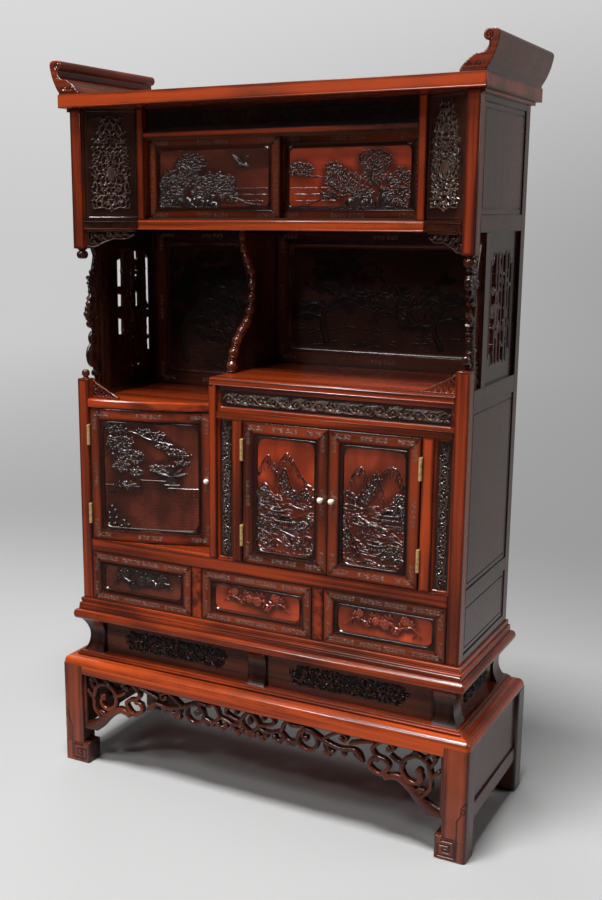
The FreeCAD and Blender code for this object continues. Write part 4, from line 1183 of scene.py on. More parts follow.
foliage(garden, (0.8 * across, 0.64 * up), 34, 18, 4.2)
for spot_u, spot_v in (
        (0.06, 0.04), (0.13, 0.04), (0.2, 0.03), (0.27, 0.04), (0.08, 0.09), (0.15, 0.1), (0.22, 0.08),
        (0.07, 0.14), (0.14, 0.16), (0.1, 0.2)):
    garden.boss(
        (spot_u * across, spot_v * up), chance.uniform(7, 10), 3.6, 0.9, 4, 0.25, chance.uniform(0, 2))
water(garden, 6, across - 8, 0.05 * up, 0.31 * up, 7, 0.5)
hung_door("left_door", dark_carving, bowed(bow_start, bow_low.z),
          bowed(bow_start + door_stile / bow_radius, bow_low.z + door_stile * mm, panel_recess),
          bow_wide, bow_tall, garden)

# Right cupboard.
# Two doors between carved pilasters under a carved frieze, with a partition on the left and a shelf above.
# The doors are mitred frames with inlay and a moulded lip round carved mountain views, hung on brass butts.
boards("partition_boards", "centre_partition", ease=1.4 * mm)
boards("door_surround_members", "door_surround", ease=0.9 * mm)
vine_carving = carved_wood("vine_carving", (0.04, 0.012, 0.007, 1), (0.055, 0.03, 0.022, 1), 0.2, 0.1)
# Carving with a paler relief for the door frieze and the canted panels: a painted highlight standing for
# their sheen.
highlit_pale_carving = carved_wood("highlit_pale_carving", (0.05, 0.014, 0.008, 1), (0.1, 0.054, 0.039, 1), 0.2, 0.1)


def bordered(name, place, wide, tall, border, art, finish, stands_for=()):
    """A carved strip set in a flat rim; the rule's rise is 0 at the face of the rim."""
    rims, sunk = Stock(), 3.4
    lip(rims, place, wide, tall, border, 2, ((0, 0), (0.7, 0), (0.86, -1), (1, -sunk)))
    rims.make(name + "_rim", "carcase", rosewood, "rosewood", smooth=40)

    def ground(u, v, rise):
        return place(u + border, v + border, rise - sunk)

    carved_piece(name + "_carving", "carcase", finish, art.sheet(ground, 6), stands_for)


def vine(sheet, left, right, middle, swing, pitch, width, rise, leaf):
    """A waving stem with a curl and leaves in each bend, run along a strip."""
    along = np.arange(left, right + 1, 2.0)
    wave = middle + swing * np.sin(2 * np.pi * (along - left) / pitch)
    sheet.ridge(np.stack([along, wave], axis=1), width, width, rise)
    for count in range(int(2 * (right - left) / pitch)):
        centre = left + (count + 0.5) * pitch / 2
        way = 1 if count % 2 == 0 else -1
        size = 0.23 * pitch
        hook = curl((centre, middle - 0.25 * way * swing), size, 0.18 * size, 150 * way, -260 * way)
        sheet.ridge(hook, 0.9 * width, 0.5 * width, rise)
        sheet.boss(hook[-1], 0.8 * width, rise)
        for lean, reach in ((-0.5, 0.8), (0.15, 1.0), (0.6, 0.85)):
            foot = (centre + lean * size, middle + 0.75 * way * swing)
            tip = (foot[0] + 0.8 * lean * size + 0.15 * pitch, foot[1] + way * reach * 0.75 * swing * leaf)
            sheet.leaf(foot, tip, 2.2 * width, rise)
        back = centre + 0.25 * pitch
        sheet.leaf(
            (back, middle), (back + 0.16 * pitch, middle - way * 0.8 * swing * leaf), 2.1 * width, rise)


def vine_strip(length, height, stems):
    """A strip carved with vines, each given as its start, swing, pitch, width, rise and size of leaf."""
    art = Carving(length, height, 0.8, full=3.6)
    for start, *stem in stems:
        vine(art, start, art.u.max() - 4, art.v.max() / 2, *stem)
    return art


strip_front = -169 * mm
frieze_wide, frieze_tall, frieze_rim = 575, 58, 10
frieze_left, frieze_bottom = -105 * mm, 957 * mm
frieze_art = vine_strip(frieze_wide - 2 * frieze_rim, frieze_tall - 2 * frieze_rim,
                        ((4, 8, 58, 3.6, 3.4, 1.1), (18, -9, 46, 2.4, 2.8, 1.0)))
bordered(
    "door_frieze", facing_front(frieze_left, strip_front, frieze_bottom), frieze_wide, frieze_tall,
    frieze_rim, frieze_art, highlit_pale_carving, ["carved_strips"])
pilaster_wide, pilaster_tall, pilaster_rim, pilaster_bottom = 43, 340, 6, 600 * mm
for name, right in (("left_pilaster", -62 * mm), ("right_pilaster", 470 * mm)):
    pilaster_art = vine_strip(pilaster_tall - 2 * pilaster_rim, pilaster_wide - 2 * pilaster_rim,
                              ((4, 7, 50, 3.2, 3.2, 1.0), (14, -8, 40, 2.2, 2.6, 1.0)))

    def upright(u, v, rise):
        return right - v * mm, strip_front - rise * mm, pilaster_bottom + u * mm

    bordered(name, upright, pilaster_tall, pilaster_wide, pilaster_rim, pilaster_art, vine_carving)

shelf_low, shelf_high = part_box("right_shelf")
edged_shelf("right_shelf_board", "right_shelf", [
    [(shelf_low.x + 2 * mm, shelf_low.y + 0.4 * mm, shelf_low.z + height * mm),
     (shelf_high.x - 1 * mm, shelf_low.y + 0.4 * mm, shelf_low.z + height * mm)] for height in (3.2, 15.4)])


def weathered(points, shake=1.0):
    """A line through the points, broken up as a rough edge."""
    line = bend(*points, steps=5)
    return line + chance.uniform(-shake, shake, line.shape)


def hill(art, points, drop, rise=2.6):
    """A hill: a rough line along its top, a slope that swells towards it, and strokes falling away below."""
    line = weathered(points, 1.4)
    order = np.argsort(line[:, 0])
    below = np.interp(art.u, line[order, 0], line[order, 1], left=-1e3, right=-1e3) - art.v
    art.swell = np.maximum(art.swell, np.where(below > 0, 1.3 * np.exp(-np.clip(below, 0, 1e3) / drop), 0))
    art.ridge(line, 1.8, 1.5, rise)
    for start in line[1:]:
        for _ in range(2):
            top = start + (chance.uniform(-4, 4), -chance.uniform(0.0, 1.1) * drop)
            fall = np.array([chance.uniform(-0.7, 0.7), -1.0]) * chance.uniform(0.2, 0.7) * drop
            art.ridge(
                weathered((top, top + 0.5 * fall, top + fall), 0.7), 1.6, 0.9,
                rise * chance.uniform(0.5, 0.9))


def strokes(art, low_v, high_v, count, rise=2.2):
    """Short level strokes of water, grass and stone, scattered over the lower part of a view."""
    for _ in range(count):
        start = np.array([chance.uniform(4, art.u.max() - 4), chance.uniform(low_v, high_v)])
        run = np.array([chance.uniform(5, 17), chance.uniform(-3, 3)])
        art.ridge(
            weathered((start, start + 0.5 * run + (0, 1), start + run), 0.5), 1.5, 0.9,
            rise * chance.uniform(0.5, 1))


def bank(art, points, drop, rise=3.2):
    """The edge of a terrace or shore, with short strokes under it."""
    line = weathered(points, 0.9)
    art.ridge(line, 2.0, 1.6, rise)
    for start in line[::2]:
        art.ridge(
            [start, start + (chance.uniform(-4, 5), -chance.uniform(0.4, 1) * drop)], 1.8, 1.0, 0.8 * rise)


# The two views, in hundredths of the panel's width and height: hill lines, tree crowns (u, v, width,
# height), shore and terrace lines, and halls (left, bottom, width, height).
views = {
    "middle_door": (
        (((4, 66), (14, 78), (22, 83), (30, 78), (38, 69)),
         ((34, 72), (44, 82), (52, 86), (62, 80), (78, 67), (96, 58)),
         ((40, 54), (43, 67), (48, 74), (53, 69), (58, 60), (66, 52)),
         ((64, 50), (74, 57), (82, 59), (90, 54), (98, 50)),
         ((3, 50), (10, 57), (18, 60), (27, 54), (34, 46)),
         ((2, 36), (10, 42), (20, 40), (30, 34)), ((2, 26), (12, 33), (22, 30), (32, 22)),
         ((68, 30), (80, 37), (92, 34), (98, 28)), ((3, 13), (12, 20), (24, 18), (36, 10)),
         ((50, 12), (62, 18), (74, 15), (88, 20), (98, 14))),
        ((12, 53, 22, 10), (9, 44, 18, 8), (24, 46, 16, 8), (47, 64, 12, 13),
         (54, 55, 18, 10), (66, 50, 18, 7), (80, 53, 16, 7), (74, 27, 24, 10),
         (12, 24, 20, 10), (10, 13, 20, 6), (88, 7, 16, 7)),
        (((2, 42), (20, 43), (36, 39), (56, 44), (80, 42), (98, 46)),
         ((20, 34), (34, 36), (48, 31), (64, 34), (80, 36), (97, 33)),
         ((4, 30), (20, 29), (34, 24), (50, 21), (70, 18), (96, 20)),
         ((22, 10), (36, 14), (52, 10), (68, 11), (84, 13))),
        ((36, 24, 30, 11), (30, 35, 16, 6))),
    "right_door": (
        (((16, 72), (24, 80), (32, 82), (40, 74)),
         ((54, 68), (62, 79), (72, 84), (83, 82), (90, 74), (97, 66)),
         ((26, 56), (34, 63), (44, 70), (52, 79), (58, 72), (64, 62)),
         ((2, 58), (12, 62), (20, 60), (30, 54)),
         ((2, 40), (8, 41), (14, 33), (20, 22), (26, 12)),
         ((30, 33), (42, 38), (56, 33)), ((56, 22), (68, 28), (82, 30), (96, 25)),
         ((8, 14), (20, 18), (30, 12)), ((62, 46), (74, 53), (88, 54), (98, 48))),
        ((52, 72, 10, 9), (46, 65, 14, 10), (38, 57, 18, 8), (86, 56, 22, 14),
         (74, 48, 26, 8), (92, 45, 14, 9), (80, 17, 32, 10), (66, 12, 20, 7),
         (90, 10, 18, 7), (10, 24, 14, 14)),
        (((2, 50), (20, 51), (38, 49), (58, 52)),
         ((14, 40), (30, 42), (48, 37), (70, 35), (97, 39)),
         ((16, 30), (24, 22), (32, 12), (42, 5)),
         ((36, 26), (50, 28), (62, 23), (78, 26), (97, 24)),
         ((30, 5), (46, 8), (62, 5), (80, 6))),
        ((58, 41, 28, 9), (46, 17, 18, 7)))}


def pavilion(art, left, bottom, width, tall, rise=4.4):
    """A small open hall: a stepped base, posts and a tiled roof with turned-up eaves."""
    middle, eaves, top = left + width / 2, bottom + 0.56 * tall, bottom + tall
    for step, reach in ((0, 0.62), (3, 0.56)):
        art.ridge(
            [(middle - reach * width, bottom + step), (middle + reach * width, bottom + step)], 2.4, 2.4, 3)
    for share in (-0.42, -0.16, 0.16, 0.42):
        art.ridge([(middle + share * width, bottom), (middle + share * width, eaves)], 2.2, 2.2, 0.8 * rise)
    art.ridge(
        bend(
            (middle - 0.68 * width, eaves + 0.14 * tall), (middle - 0.5 * width, eaves),
            (middle, eaves - 1), (middle + 0.5 * width, eaves),
            (middle + 0.68 * width, eaves + 0.14 * tall)), 2.8, 2.8, rise)
    for share in np.linspace(-0.5, 0.5, 9):
        art.ridge(bend((middle + share * width, eaves), (middle + 0.6 * share * width, eaves + 0.18 * tall),
                       (middle + 0.3 * share * width, top)), 2.0, 1.6, 0.9 * rise)
    art.ridge([(middle - 0.18 * width, top), (middle + 0.18 * width, top)], 3, 3, rise)


def mountain_view(art, hills, crowns, shores, halls):
    """Hills over a lake, with trees, terraces and halls."""
    across, up = art.u.max() / 100, art.v.max() / 100
    scale = np.array([across, up])
    for points in hills:
        hill(art, np.array(points) * scale, 16)
    for points in shores:
        bank(art, np.array(points) * scale, 8, 2.6)
    for left, bottom, wide, tall in halls:
        pavilion(art, left * across, bottom * up, wide * across, tall * up)
    for u, v, wide, tall in crowns:
        foliage(art, (u * across, v * up), wide * across, tall * up)
    strokes(art, 3 * up, 52 * up, 200)


for door, finish in (("middle_door", red_carving), ("right_door", brown_carving)):
    low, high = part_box(door + "_frame")
    wide, tall = (high.x - low.x) / mm, (high.z - low.z) / mm
    view_art = Carving(wide - 2 * door_stile, tall - 2 * door_stile, 0.8, full=5.0, shade_reach=26)
    mountain_view(view_art, *views[door])
    hung_door(door, finish, facing_front(low.x, low.y, low.z),
              facing_front(low.x + door_stile * mm, low.y + panel_recess * mm, low.z + door_stile * mm),
              wide, tall, view_art)

# Open bays.
# Two open bays at different heights. Framed boards carved in low relief, drawn dark as painted shade, close
# their backs, and pierced panels of bamboo fill their sides; the frames and panels are grooved into the
# posts, rails and shelves.
boards("bay_frame_members", "bay_frames", dark_and_shaded_rosewood, 0.6 * mm)
# A near-black carving finish for the bay backs and the upper frieze, which lie in shadow: painted shade.
dark_and_shaded_carving = carved_wood("dark_and_shaded_carving", (0.034, 0.009, 0.004, 1), (0.018, 0.007, 0.005, 1), 0.5, 0.08, 0.05)


def needles(art, middle, size, rise):
    """A pad of pine needles: small ribbed fans, close together."""
    for _ in range(6):
        spot = (middle[0] + chance.uniform(-0.9, 0.9) * size, middle[1] + chance.uniform(-0.4, 0.4) * size)
        art.boss(
            spot, chance.uniform(0.42, 0.6) * size, rise * chance.uniform(0.7, 1), 0.75, 9, 0.45,
            chance.uniform(-0.4, 0.4))


def pine(art, foot, size, lean, boughs, rise):
    """A pine: a bent trunk, boughs to both sides, and pads of needles in tiers."""
    foot = np.array(foot, float)
    trunk = bend(
        foot, foot + ((0.3 * lean - 0.1) * size, 0.34 * size),
        foot + ((0.65 * lean + 0.08) * size, 0.68 * size), foot + (lean * size, size))
    art.ridge(trunk, 0.09 * size, 0.035 * size, rise)
    for count in range(boughs):
        share = 0.3 + 0.7 * count / max(boughs - 1, 1)
        start = trunk[int(share * (len(trunk) - 1))]
        way = 1 if count % 2 else -1
        end = start + (way * size * (0.52 - 0.34 * share), chance.uniform(0.0, 0.12) * size)
        art.ridge(
            bend(start, (start + end) / 2 + (0, 0.05 * size), end), 0.045 * size, 0.025 * size, 0.8 * rise)
        for spot in (0.45, 1.0):
            needles(
                art, start + spot * (end - start) + (0, 0.04 * size), chance.uniform(0.11, 0.15) * size,
                rise)


bay_inlay = Stock()
bay_stile, bay_face, bay_lip_reach, bay_corner = 36, 6 * mm, 10, 6
bay_section = ((0, -0.5), (0.3, -0.6), (0.5, -2), (0.7, -1.2), (1, -5.9))
hands = {-1: "left", 1: "right"}
for hand, (corners, faces) in zip(hands.values(), solids("bay_back_panels")):
    low, high = np.min(corners, axis=0), np.max(corners, axis=0)
    wide, tall = (high[0] - low[0]) / mm, (high[2] - low[2]) / mm
    back_art = Carving(wide, tall, 1.5, full=4.0)
    strokes(back_art, 0.04 * tall, 0.26 * tall, 110, 3)
    pine(back_art, (0.2 * wide, 0.1 * tall), 0.72 * tall, 0.16, 10, 3.4)
    pine(back_art, (0.78 * wide, 0.08 * tall), 0.55 * tall, -0.1, 8, 3.2)
    fruit_spray(back_art, (0.42 * wide, 0.3 * tall), 0.3 * wide, 1)
    fruit_spray(back_art, (0.52 * wide, 0.62 * tall), 0.26 * wide, -1)
    foliage(back_art, (0.52 * wide, 0.5 * tall), 0.3 * wide, 0.3 * tall, 3.4)
    back_art.rise *= 0.5
    back_lip = Stock()
    lip(
        back_lip, facing_front(low[0], low[1] - bay_face, low[2]), wide, tall, bay_lip_reach, bay_corner,
        bay_section)
    back_lip.make(hand + "_bay_lip", "carcase", dark_and_shaded_rosewood, "rosewood", smooth=40)
    carved_piece(
        hand + "_dark_and_shaded_carving", "carcase", dark_and_shaded_carving, back_art.sheet(facing_front(*low), panel_thick),
        ["bay_back_panels"] if hand == "left" else (), along=0)
    frame_inlay(
        bay_inlay, facing_front(low[0] - bay_stile * mm, low[1] - bay_face, low[2] - bay_stile * mm),
        wide + 2 * bay_stile, tall + 2 * bay_stile, bay_stile, 40, 30)
bay_inlay.make("bay_inlay", "carcase", inlay_metal, "brass", smooth=60)


def bamboo(art, foot, top, thick, leaves, rise):
    """A bamboo stem: swollen joints, and pointed leaves in pairs."""
    foot, top = np.array(foot, float), np.array(top, float)
    joints = 6
    for joint in range(joints):
        start, end = foot + (top - foot) * joint / joints, foot + (top - foot) * (joint + 1) / joints
        art.ridge([start, end], thick, thick * 0.92, rise)
        art.boss(end, 0.62 * thick, rise * 1.15, 0.5)
    for count in range(leaves):
        spot = foot + (top - foot) * chance.uniform(0.15, 0.95)
        way = 1 if count % 2 else -1
        art.leaf(
            spot, spot + (way * chance.uniform(14, 30), chance.uniform(-26, 16)), chance.uniform(7, 10),
            rise)


def cusped_opening(art, low_u, high_u, low_v, high_v, bite):
    """Cuts an opening with bitten corners out of a board, and leaves a raised line round it."""
    u, v = art.u, art.v
    open_by = np.minimum(np.minimum(u - low_u, high_u - u), np.minimum(v - low_v, high_v - v))
    for corner_u in (low_u, high_u):
        for corner_v in (low_v, high_v):
            open_by = np.minimum(open_by, np.hypot(u - corner_u, v - corner_v) - bite)
    art.inside = np.maximum(art.inside, -open_by)
    art.rise = np.maximum(art.rise, 1.6 * np.exp(-((open_by + 6) / 2.2) ** 2))


side_art_thick, drawn_wide, drawn_tall = 7, 148, 295
for side, (corners, faces) in zip((-1, 1), solids("bay_side_panels")):
    low, high = np.min(corners, axis=0), np.max(corners, axis=0)
    wide, tall = (high[1] - low[1]) / mm, (high[2] - low[2]) / mm
    side_art = Carving(wide, tall, 1.4, full=3.4)
    left_u, right_u, low_v, top_v = (58, 206, 46, 341) if side < 0 else (40, 182, 45, 273)
    cusped_opening(side_art, left_u, right_u, low_v, top_v, 20)
    step_u, step_v = (right_u - left_u) / drawn_wide, (top_v - low_v) / drawn_tall
    for foot_u, top_u, thick, leaves in (
            (28, 30, 11, 4), (51, 49, 12, 6), (76, 71, 9, 5), (106, 102, 15, 8), (124, 122, 10, 4)):
        bamboo(
            side_art, (left_u + foot_u * step_u, low_v - 3), (left_u + top_u * step_u, top_v + 4), thick,
            leaves, 3)
    blocks = (
        (12, 199, 14, 0.8), (14, 142, 17, 1.0), (40, 178, 11, 0.9), (42, 134, 20, 1.2), (60, 154, 9, 1.0),
        (62, 96, 14, 1.1), (90, 120, 16, 2.2), (92, 210, 14, 1.6), (136, 132, 14, 0.8), (4, 50, 24, 1.6),
        (28, 44, 26, 1.5), (54, 38, 24, 1.5), (80, 42, 26, 1.5), (108, 34, 24, 1.4), (134, 16, 22, 1.0))
    for spot_u, spot_v, size, squeeze in blocks if side < 0 else blocks[:6]:
        side_art.boss(
            (left_u + spot_u * step_u, low_v + spot_v * step_v), size * step_u, 2.6, squeeze, 5, 0.25,
            chance.uniform(0, 2))
    middle_x = (low[0] + high[0]) / 2

    def facing_out(u, v, rise):
        near_y = low[1] if side > 0 else high[1]
        return middle_x + side * (rise + side_art_thick / 2) * mm, near_y + side * u * mm, low[2] + v * mm

    if side < 0:
        side_art.rise, side_art.inside = side_art.rise[:, ::-1].copy(), side_art.inside[:, ::-1].copy()
    carved_piece(hands[side] + "_bay_bamboo", "carcase", shaded_side_wood,
                 side_art.sheet(facing_out, side_art_thick, pierced=True, both=True),
                 ["bay_side_panels"] if side < 0 else (), along=2, smooth=55)

# Brackets.
# Carved in the round from one board each and pegged between the shelf and the upper cabinet, in front of
# the side stiles: on the left a knotty branch with leaves and a gourd, on the right a stem with flowers
# over a trunk.
for side, (corners, faces) in zip((-1, 1), solids("carved_brackets")):
    low, high = np.min(corners, axis=0), np.max(corners, axis=0)
    tall = (high[2] - low[2]) / mm
    deep = (high[1] - low[1]) / mm
    branch = Carving(deep + 2, tall, 0.9, -1, 0, full=6.0)
    web = 45 * np.clip((branch.v / tall - 0.76) / 0.24, 0, 1) ** 1.5 + 3 - branch.u
    branch.inside = np.maximum(branch.inside, web)
    branch.rise = np.where(web > 0, 5.0, branch.rise)
    if side < 0:
        branch.ridge(
            bend(
                (4, 0), (14, 0.1 * tall), (20, 0.2 * tall), (12, 0.33 * tall), (28, 0.45 * tall),
                (16, 0.58 * tall), (22, 0.7 * tall), (8, 0.84 * tall), (4, tall)), 14, 12, 6)
        branch.boss((26, 0.235 * tall), 27, 9, 1.18)
        branch.boss((28, 0.34 * tall), 14, 8, 1.2)
        for spot_u, share, size in (
                (38, 0.43, 10), (30, 0.51, 10), (48, 0.49, 9), (20, 0.46, 9), (27, 0.6, 9), (18, 0.7, 8),
                (30, 0.655, 7), (12, 0.1, 9), (24, 0.12, 8), (40, 0.55, 7)):
            branch.boss((spot_u, share * tall), size, 8, 1.0, 6, 0.22, chance.uniform(0, 2))
        for spot_u, share, size in (
                (40, 0.47, 12), (34, 0.56, 10), (46, 0.52, 8), (30, 0.63, 9), (36, 0.68, 6), (24, 0.74, 8)):
            branch.boss((spot_u, share * tall), size, 7, 0.9, 5, 0.3, chance.uniform(0, 2))
        for share in (0.41, 0.5, 0.6, 0.7):
            foot = (24, share * tall)
            branch.leaf(foot, (foot[0] + chance.uniform(14, 26), foot[1] + chance.uniform(-16, 16)), 13, 7)
    else:
        trunk = bend(
            (6, 0), (18, 0.1 * tall), (24, 0.2 * tall), (32, 0.33 * tall), (30, 0.44 * tall),
            (27, 0.55 * tall), (36, 0.64 * tall), (26, 0.78 * tall), (10, 0.92 * tall))
        branch.ridge(trunk, 30, 11, 7)
        for _ in range(60):
            spot = trunk[chance.integers(2, 30)] + (chance.uniform(-13, 13), chance.uniform(-6, 6))
            branch.boss(spot, chance.uniform(3.5, 5.5), chance.uniform(7, 9), 0.8)
        branch.boss((60, 0.2 * tall), 10, 8)
        branch.boss((48, 0.16 * tall), 8, 7)
        for foot, tip in (
                ((30, 0.44), (64, 0.5)), ((30, 0.46), (62, 0.41)), ((30, 0.55), (58, 0.56)),
                ((36, 0.62), (66, 0.6))):
            branch.leaf((foot[0], foot[1] * tall), (tip[0], tip[1] * tall), 12, 7)
        for spot_u, share, size in (
                (56, 0.69, 17), (38, 0.74, 15), (54, 0.79, 13), (26, 0.68, 11), (34, 0.85, 11)):
            blossom(branch, (spot_u, share * tall), size, 8)
        for share in np.linspace(0.6, 0.9, 8):
            foot = (30 + chance.uniform(-10, 14), share * tall)
            branch.leaf(foot, (foot[0] + chance.uniform(6, 24), foot[1] + chance.uniform(-16, 16)), 10, 7)
    branch.inside[branch.u > deep - 0.5] = -9
    centre_x = (low[0] + high[0]) / 2

    def out_from_stile(u, v, rise):
        return centre_x - side * (rise + 1) * mm, high[1] - u * mm, low[2] + v * mm

    corners, faces, raised = branch.sheet(out_from_stile, 2, pierced=True, both=True)
    if side < 0:
        faces = [face[::-1] for face in faces]
    carved_piece(hands[side] + "_bracket", "carcase", dark_and_shaded_rosewood, (corners, faces, raised),
                 ["carved_brackets"] if side < 0 else (), along=2)

# Divider.
# A board between the bays with an S-shaped front edge, on which a rod carved as jointed bamboo is pegged. A
# small panel of lattice is let into its foot on the right.
boards("divider_board", "divider_panel", dark_and_shaded_rosewood, 0.6 * mm)
edge_points = bend(
    (-85, 1034), (-84, 1052), (-74, 1082), (-54, 1112), (-30, 1133), (-4, 1152), (9, 1176), (15, 1200),
    (19, 1223), (13, 1266), (-10, 1301), (-27, 1329), (-31, 1348), (-31, 1366), steps=12)
run = np.concatenate([[0], np.cumsum(np.hypot(*np.diff(edge_points, axis=0).T))])
edge_x, edge_steps = -114.5, 420
spots = np.linspace(0, run[-1], edge_steps)
edge_y = np.interp(spots, run, edge_points[:, 0])
edge_z = np.interp(spots, run, edge_points[:, 1])
joint_gap = 32.0
phase = spots / joint_gap
joint_off = np.abs((phase + 0.5) % 1 - 0.5)
swell = 5.8 + 4.2 * np.sin(np.pi * phase) ** 2 + 3.0 * np.exp(-((joint_off - 0.1) / 0.045) ** 2)
swell = swell * np.interp(edge_z, (edge_z[0], edge_z[-1]), (1.4, 0.85))
bamboo_edge = Stock()
edge_line = np.column_stack([np.full(edge_steps, edge_x), edge_y, edge_z]) * mm
rod(bamboo_edge, edge_line, swell * mm, (1, 0, 0), rings=12)
bamboo_edge.make("bamboo_edge", "carcase", apron_wood, "rosewood", ["divider_edge"], smooth=60)
lattice_wide, lattice_tall = 96, 66
lattice = Carving(lattice_wide, lattice_tall, 0.8, full=2.0)
for start in np.arange(-lattice_tall, lattice_wide, 12):
    for low_u, high_u in ((start, start + lattice_tall), (start + lattice_tall, start)):
        lattice.ridge([(low_u, 0), (high_u, lattice_tall)], 2.2, 2.2, 2)
rim_low, rim_right, rim_top = 1.5, lattice_wide - 1.5, lattice_tall - 1.5
lattice.ridge(
    [(rim_low, rim_low), (rim_right, rim_low), (rim_right, rim_top), (rim_low, rim_top),
     (rim_low, rim_low)], 3, 3, 2)
lattice_left, lattice_front, lattice_bottom = -112.5, -22, 1036


def beside_divider(u, v, rise):
    return (lattice_left + rise) * mm, (u + lattice_front) * mm, (lattice_bottom + v) * mm


carved_piece(
    "divider_lattice", "carcase", vine_carving, lattice.sheet(beside_divider, 0.4, pierced=True), along=1)

# Spandrels.
# Thin pierced corner pieces pinned under the upper cabinet and over the shelves: swirls with a curved lower
# edge above, and baskets of openwork below.
spandrel_bounds = [
    (np.min(corners, axis=0) / mm, np.max(corners, axis=0) / mm) for corners, faces in solids("spandrels")]
swirls, baskets, spandrel_thick = Stock(), Stock(), 8


def swirl_spandrel(wide, tall):
    """An upper spandrel, deep at u = 0: swirls under the floor over a curved tendril edge."""
    art = Carving(wide, tall, 0.8, full=3.0)
    art.ridge(
        bend(
            (0, 4), (0.16 * wide, 3), (0.34 * wide, 0.3 * tall), (0.55 * wide, 0.5 * tall),
            (0.8 * wide, 0.5 * tall), (wide - 3, 0.72 * tall)), 3.4, 3, 3)
    art.ridge([(0, tall - 2.5), (wide, tall - 2.5)], 5, 5, 2.4)
    art.ridge([(2, 0), (2, tall)], 4.5, 4.5, 2.4)
    for spot_u, spot_v, size in (
            (0.12, 0.34, 9), (0.14, 0.72, 8), (0.3, 0.6, 8), (0.46, 0.74, 7), (0.62, 0.76, 6),
            (0.78, 0.78, 5)):
        way = chance.choice((-1, 1))
        art.ridge(curl((spot_u * wide, spot_v * tall), size, 2, 90 * way, 90 * way + 400 * way), 2.8, 2.2, 3)
        art.leaf((spot_u * wide, spot_v * tall), ((spot_u + 0.12) * wide, (spot_v - 0.2) * tall), 6, 3)
    return art


def basket_spandrel(wide, tall):
    """A lower spandrel, tall at u = 0: a stepped corner of woven strips with curls."""
    art = Carving(wide, tall, 0.8, full=3.0)
    art.ridge([(0, 2.5), (wide, 2.5)], 5, 5, 2.6)
    art.ridge([(2.5, 0), (2.5, tall)], 5, 5, 2.6)
    art.ridge(
        bend(
            (2, tall - 3), (0.2 * wide, 0.74 * tall), (0.42 * wide, 0.54 * tall), (0.7 * wide, 0.3 * tall),
            (wide - 2, 4)), 3, 3, 2.8)
    for start in np.arange(9, wide - 4, 13):
        rise_left = min(start, (1 - start / wide) / max(1 / tall - 1 / wide, 1e-3))
        rise_right = (1 - start / wide) / (1 / wide + 1 / tall)
        art.ridge([(start, 1), (start - rise_left, rise_left)], 2.3, 2.3, 2.4)
        art.ridge([(start, 1), (start + rise_right, rise_right)], 2.3, 2.3, 2.6)
    for start in np.arange(9, tall - 6, 13):
        rise_right = (1 - start / tall) / (1 / wide + 1 / tall)
        art.ridge([(1, start), (rise_right, start + rise_right)], 2.3, 2.3, 2.6)
    return art


for number, (low, high) in enumerate(spandrel_bounds):
    wide, tall = high[0] - low[0], high[2] - low[2]
    side = -1 if number in (0, 2) else 1
    set_back = high[1] - low[1] - spandrel_thick
    if number < 2:
        art, slope = swirl_spandrel(math.hypot(wide, set_back), tall), set_back / wide
    else:
        art, slope = basket_spandrel(wide, tall), 0.0
    shrink = 1 / math.hypot(1, slope)
    outer = low[0] if side < 0 else high[0]

    def in_corner(u, v, rise):
        return (
            (outer - side * u * shrink) * mm,
            (low[1] + 3 + slope * u * shrink - np.clip(rise, -9, 2.8)) * mm, (low[2] + v) * mm)

    corners, faces, raised = art.sheet(in_corner, 4, pierced=True)
    if side > 0:
        faces = [face[::-1] for face in faces]
    (swirls if number < 2 else baskets).add(corners, faces, raised)
swirls.make("upper_spandrels", "carcase", vine_carving, "carved_rosewood", ["spandrels"], smooth=60)
baskets.make("lower_spandrels", "carcase", frame_wood, "carved_rosewood", smooth=60)

# Upper cabinet.
# A floor with dark strips on its canted ends, painted shade along the seam under the canted panels, carries
# carved canted panels, stiles, a transom and a carved frieze. Two doors slide past each other between guide
# strips, each a mitred frame with inlay round a carved lake view.
upper_floor = Stock()
for corners, faces in solids("upper_floor"):
    upper_floor.add(*eased(corners, faces, 2.5 * mm, 0.9), along=0)
floor_bottom, floor_edge = 1366 * mm, 23
bead_rows = ((2.0, 1.6), (18.5, 1.3))
floor_half, floor_front = 361, -103.2
for height, radius in bead_rows:
    rod(
        upper_floor,
        [(x * mm, floor_front * mm, floor_bottom + height * mm) for x in (-floor_half, floor_half)],
        radius * mm, (0, 0, 1))
upper_floor.make("upper_floor_boards", "carcase", bright_rosewood, "rosewood", ["upper_floor"])
# Dark strips over the ledge at the canted ends: painted shade along the seam.
cant_edges = Stock()
cant_outer, cant_inner = (469, -174.2), (362, floor_front)
cant_out = np.array([-0.55, -0.83]) * 1.2
for side in (-1, 1):
    ends = np.array([cant_outer, cant_inner]) * (side, 1)
    proud = cant_out * (side, 1)
    outline = np.concatenate([ends - 7 * proud, (ends + proud)[::-1]]) * mm
    cant_edges.add(*skinned([
        [(x, y, floor_bottom + height * mm) for x, y in outline] for height in (0.6, floor_edge + 0.8)]))
    for height, radius in bead_rows:
        rod(cant_edges, [(x * mm, y * mm, floor_bottom + height * mm) for x, y in ends + proud],
            radius * mm, (0, 0, 1))
cant_edges.make("upper_floor_cant_edges", "carcase", dark_and_shaded_rosewood, "rosewood")
boards("slide_frame", "slide_surround", ease=1 * mm)
boards("slide_guides", "slide_tracks", inner_wood, 0.5 * mm, "inner_wood")


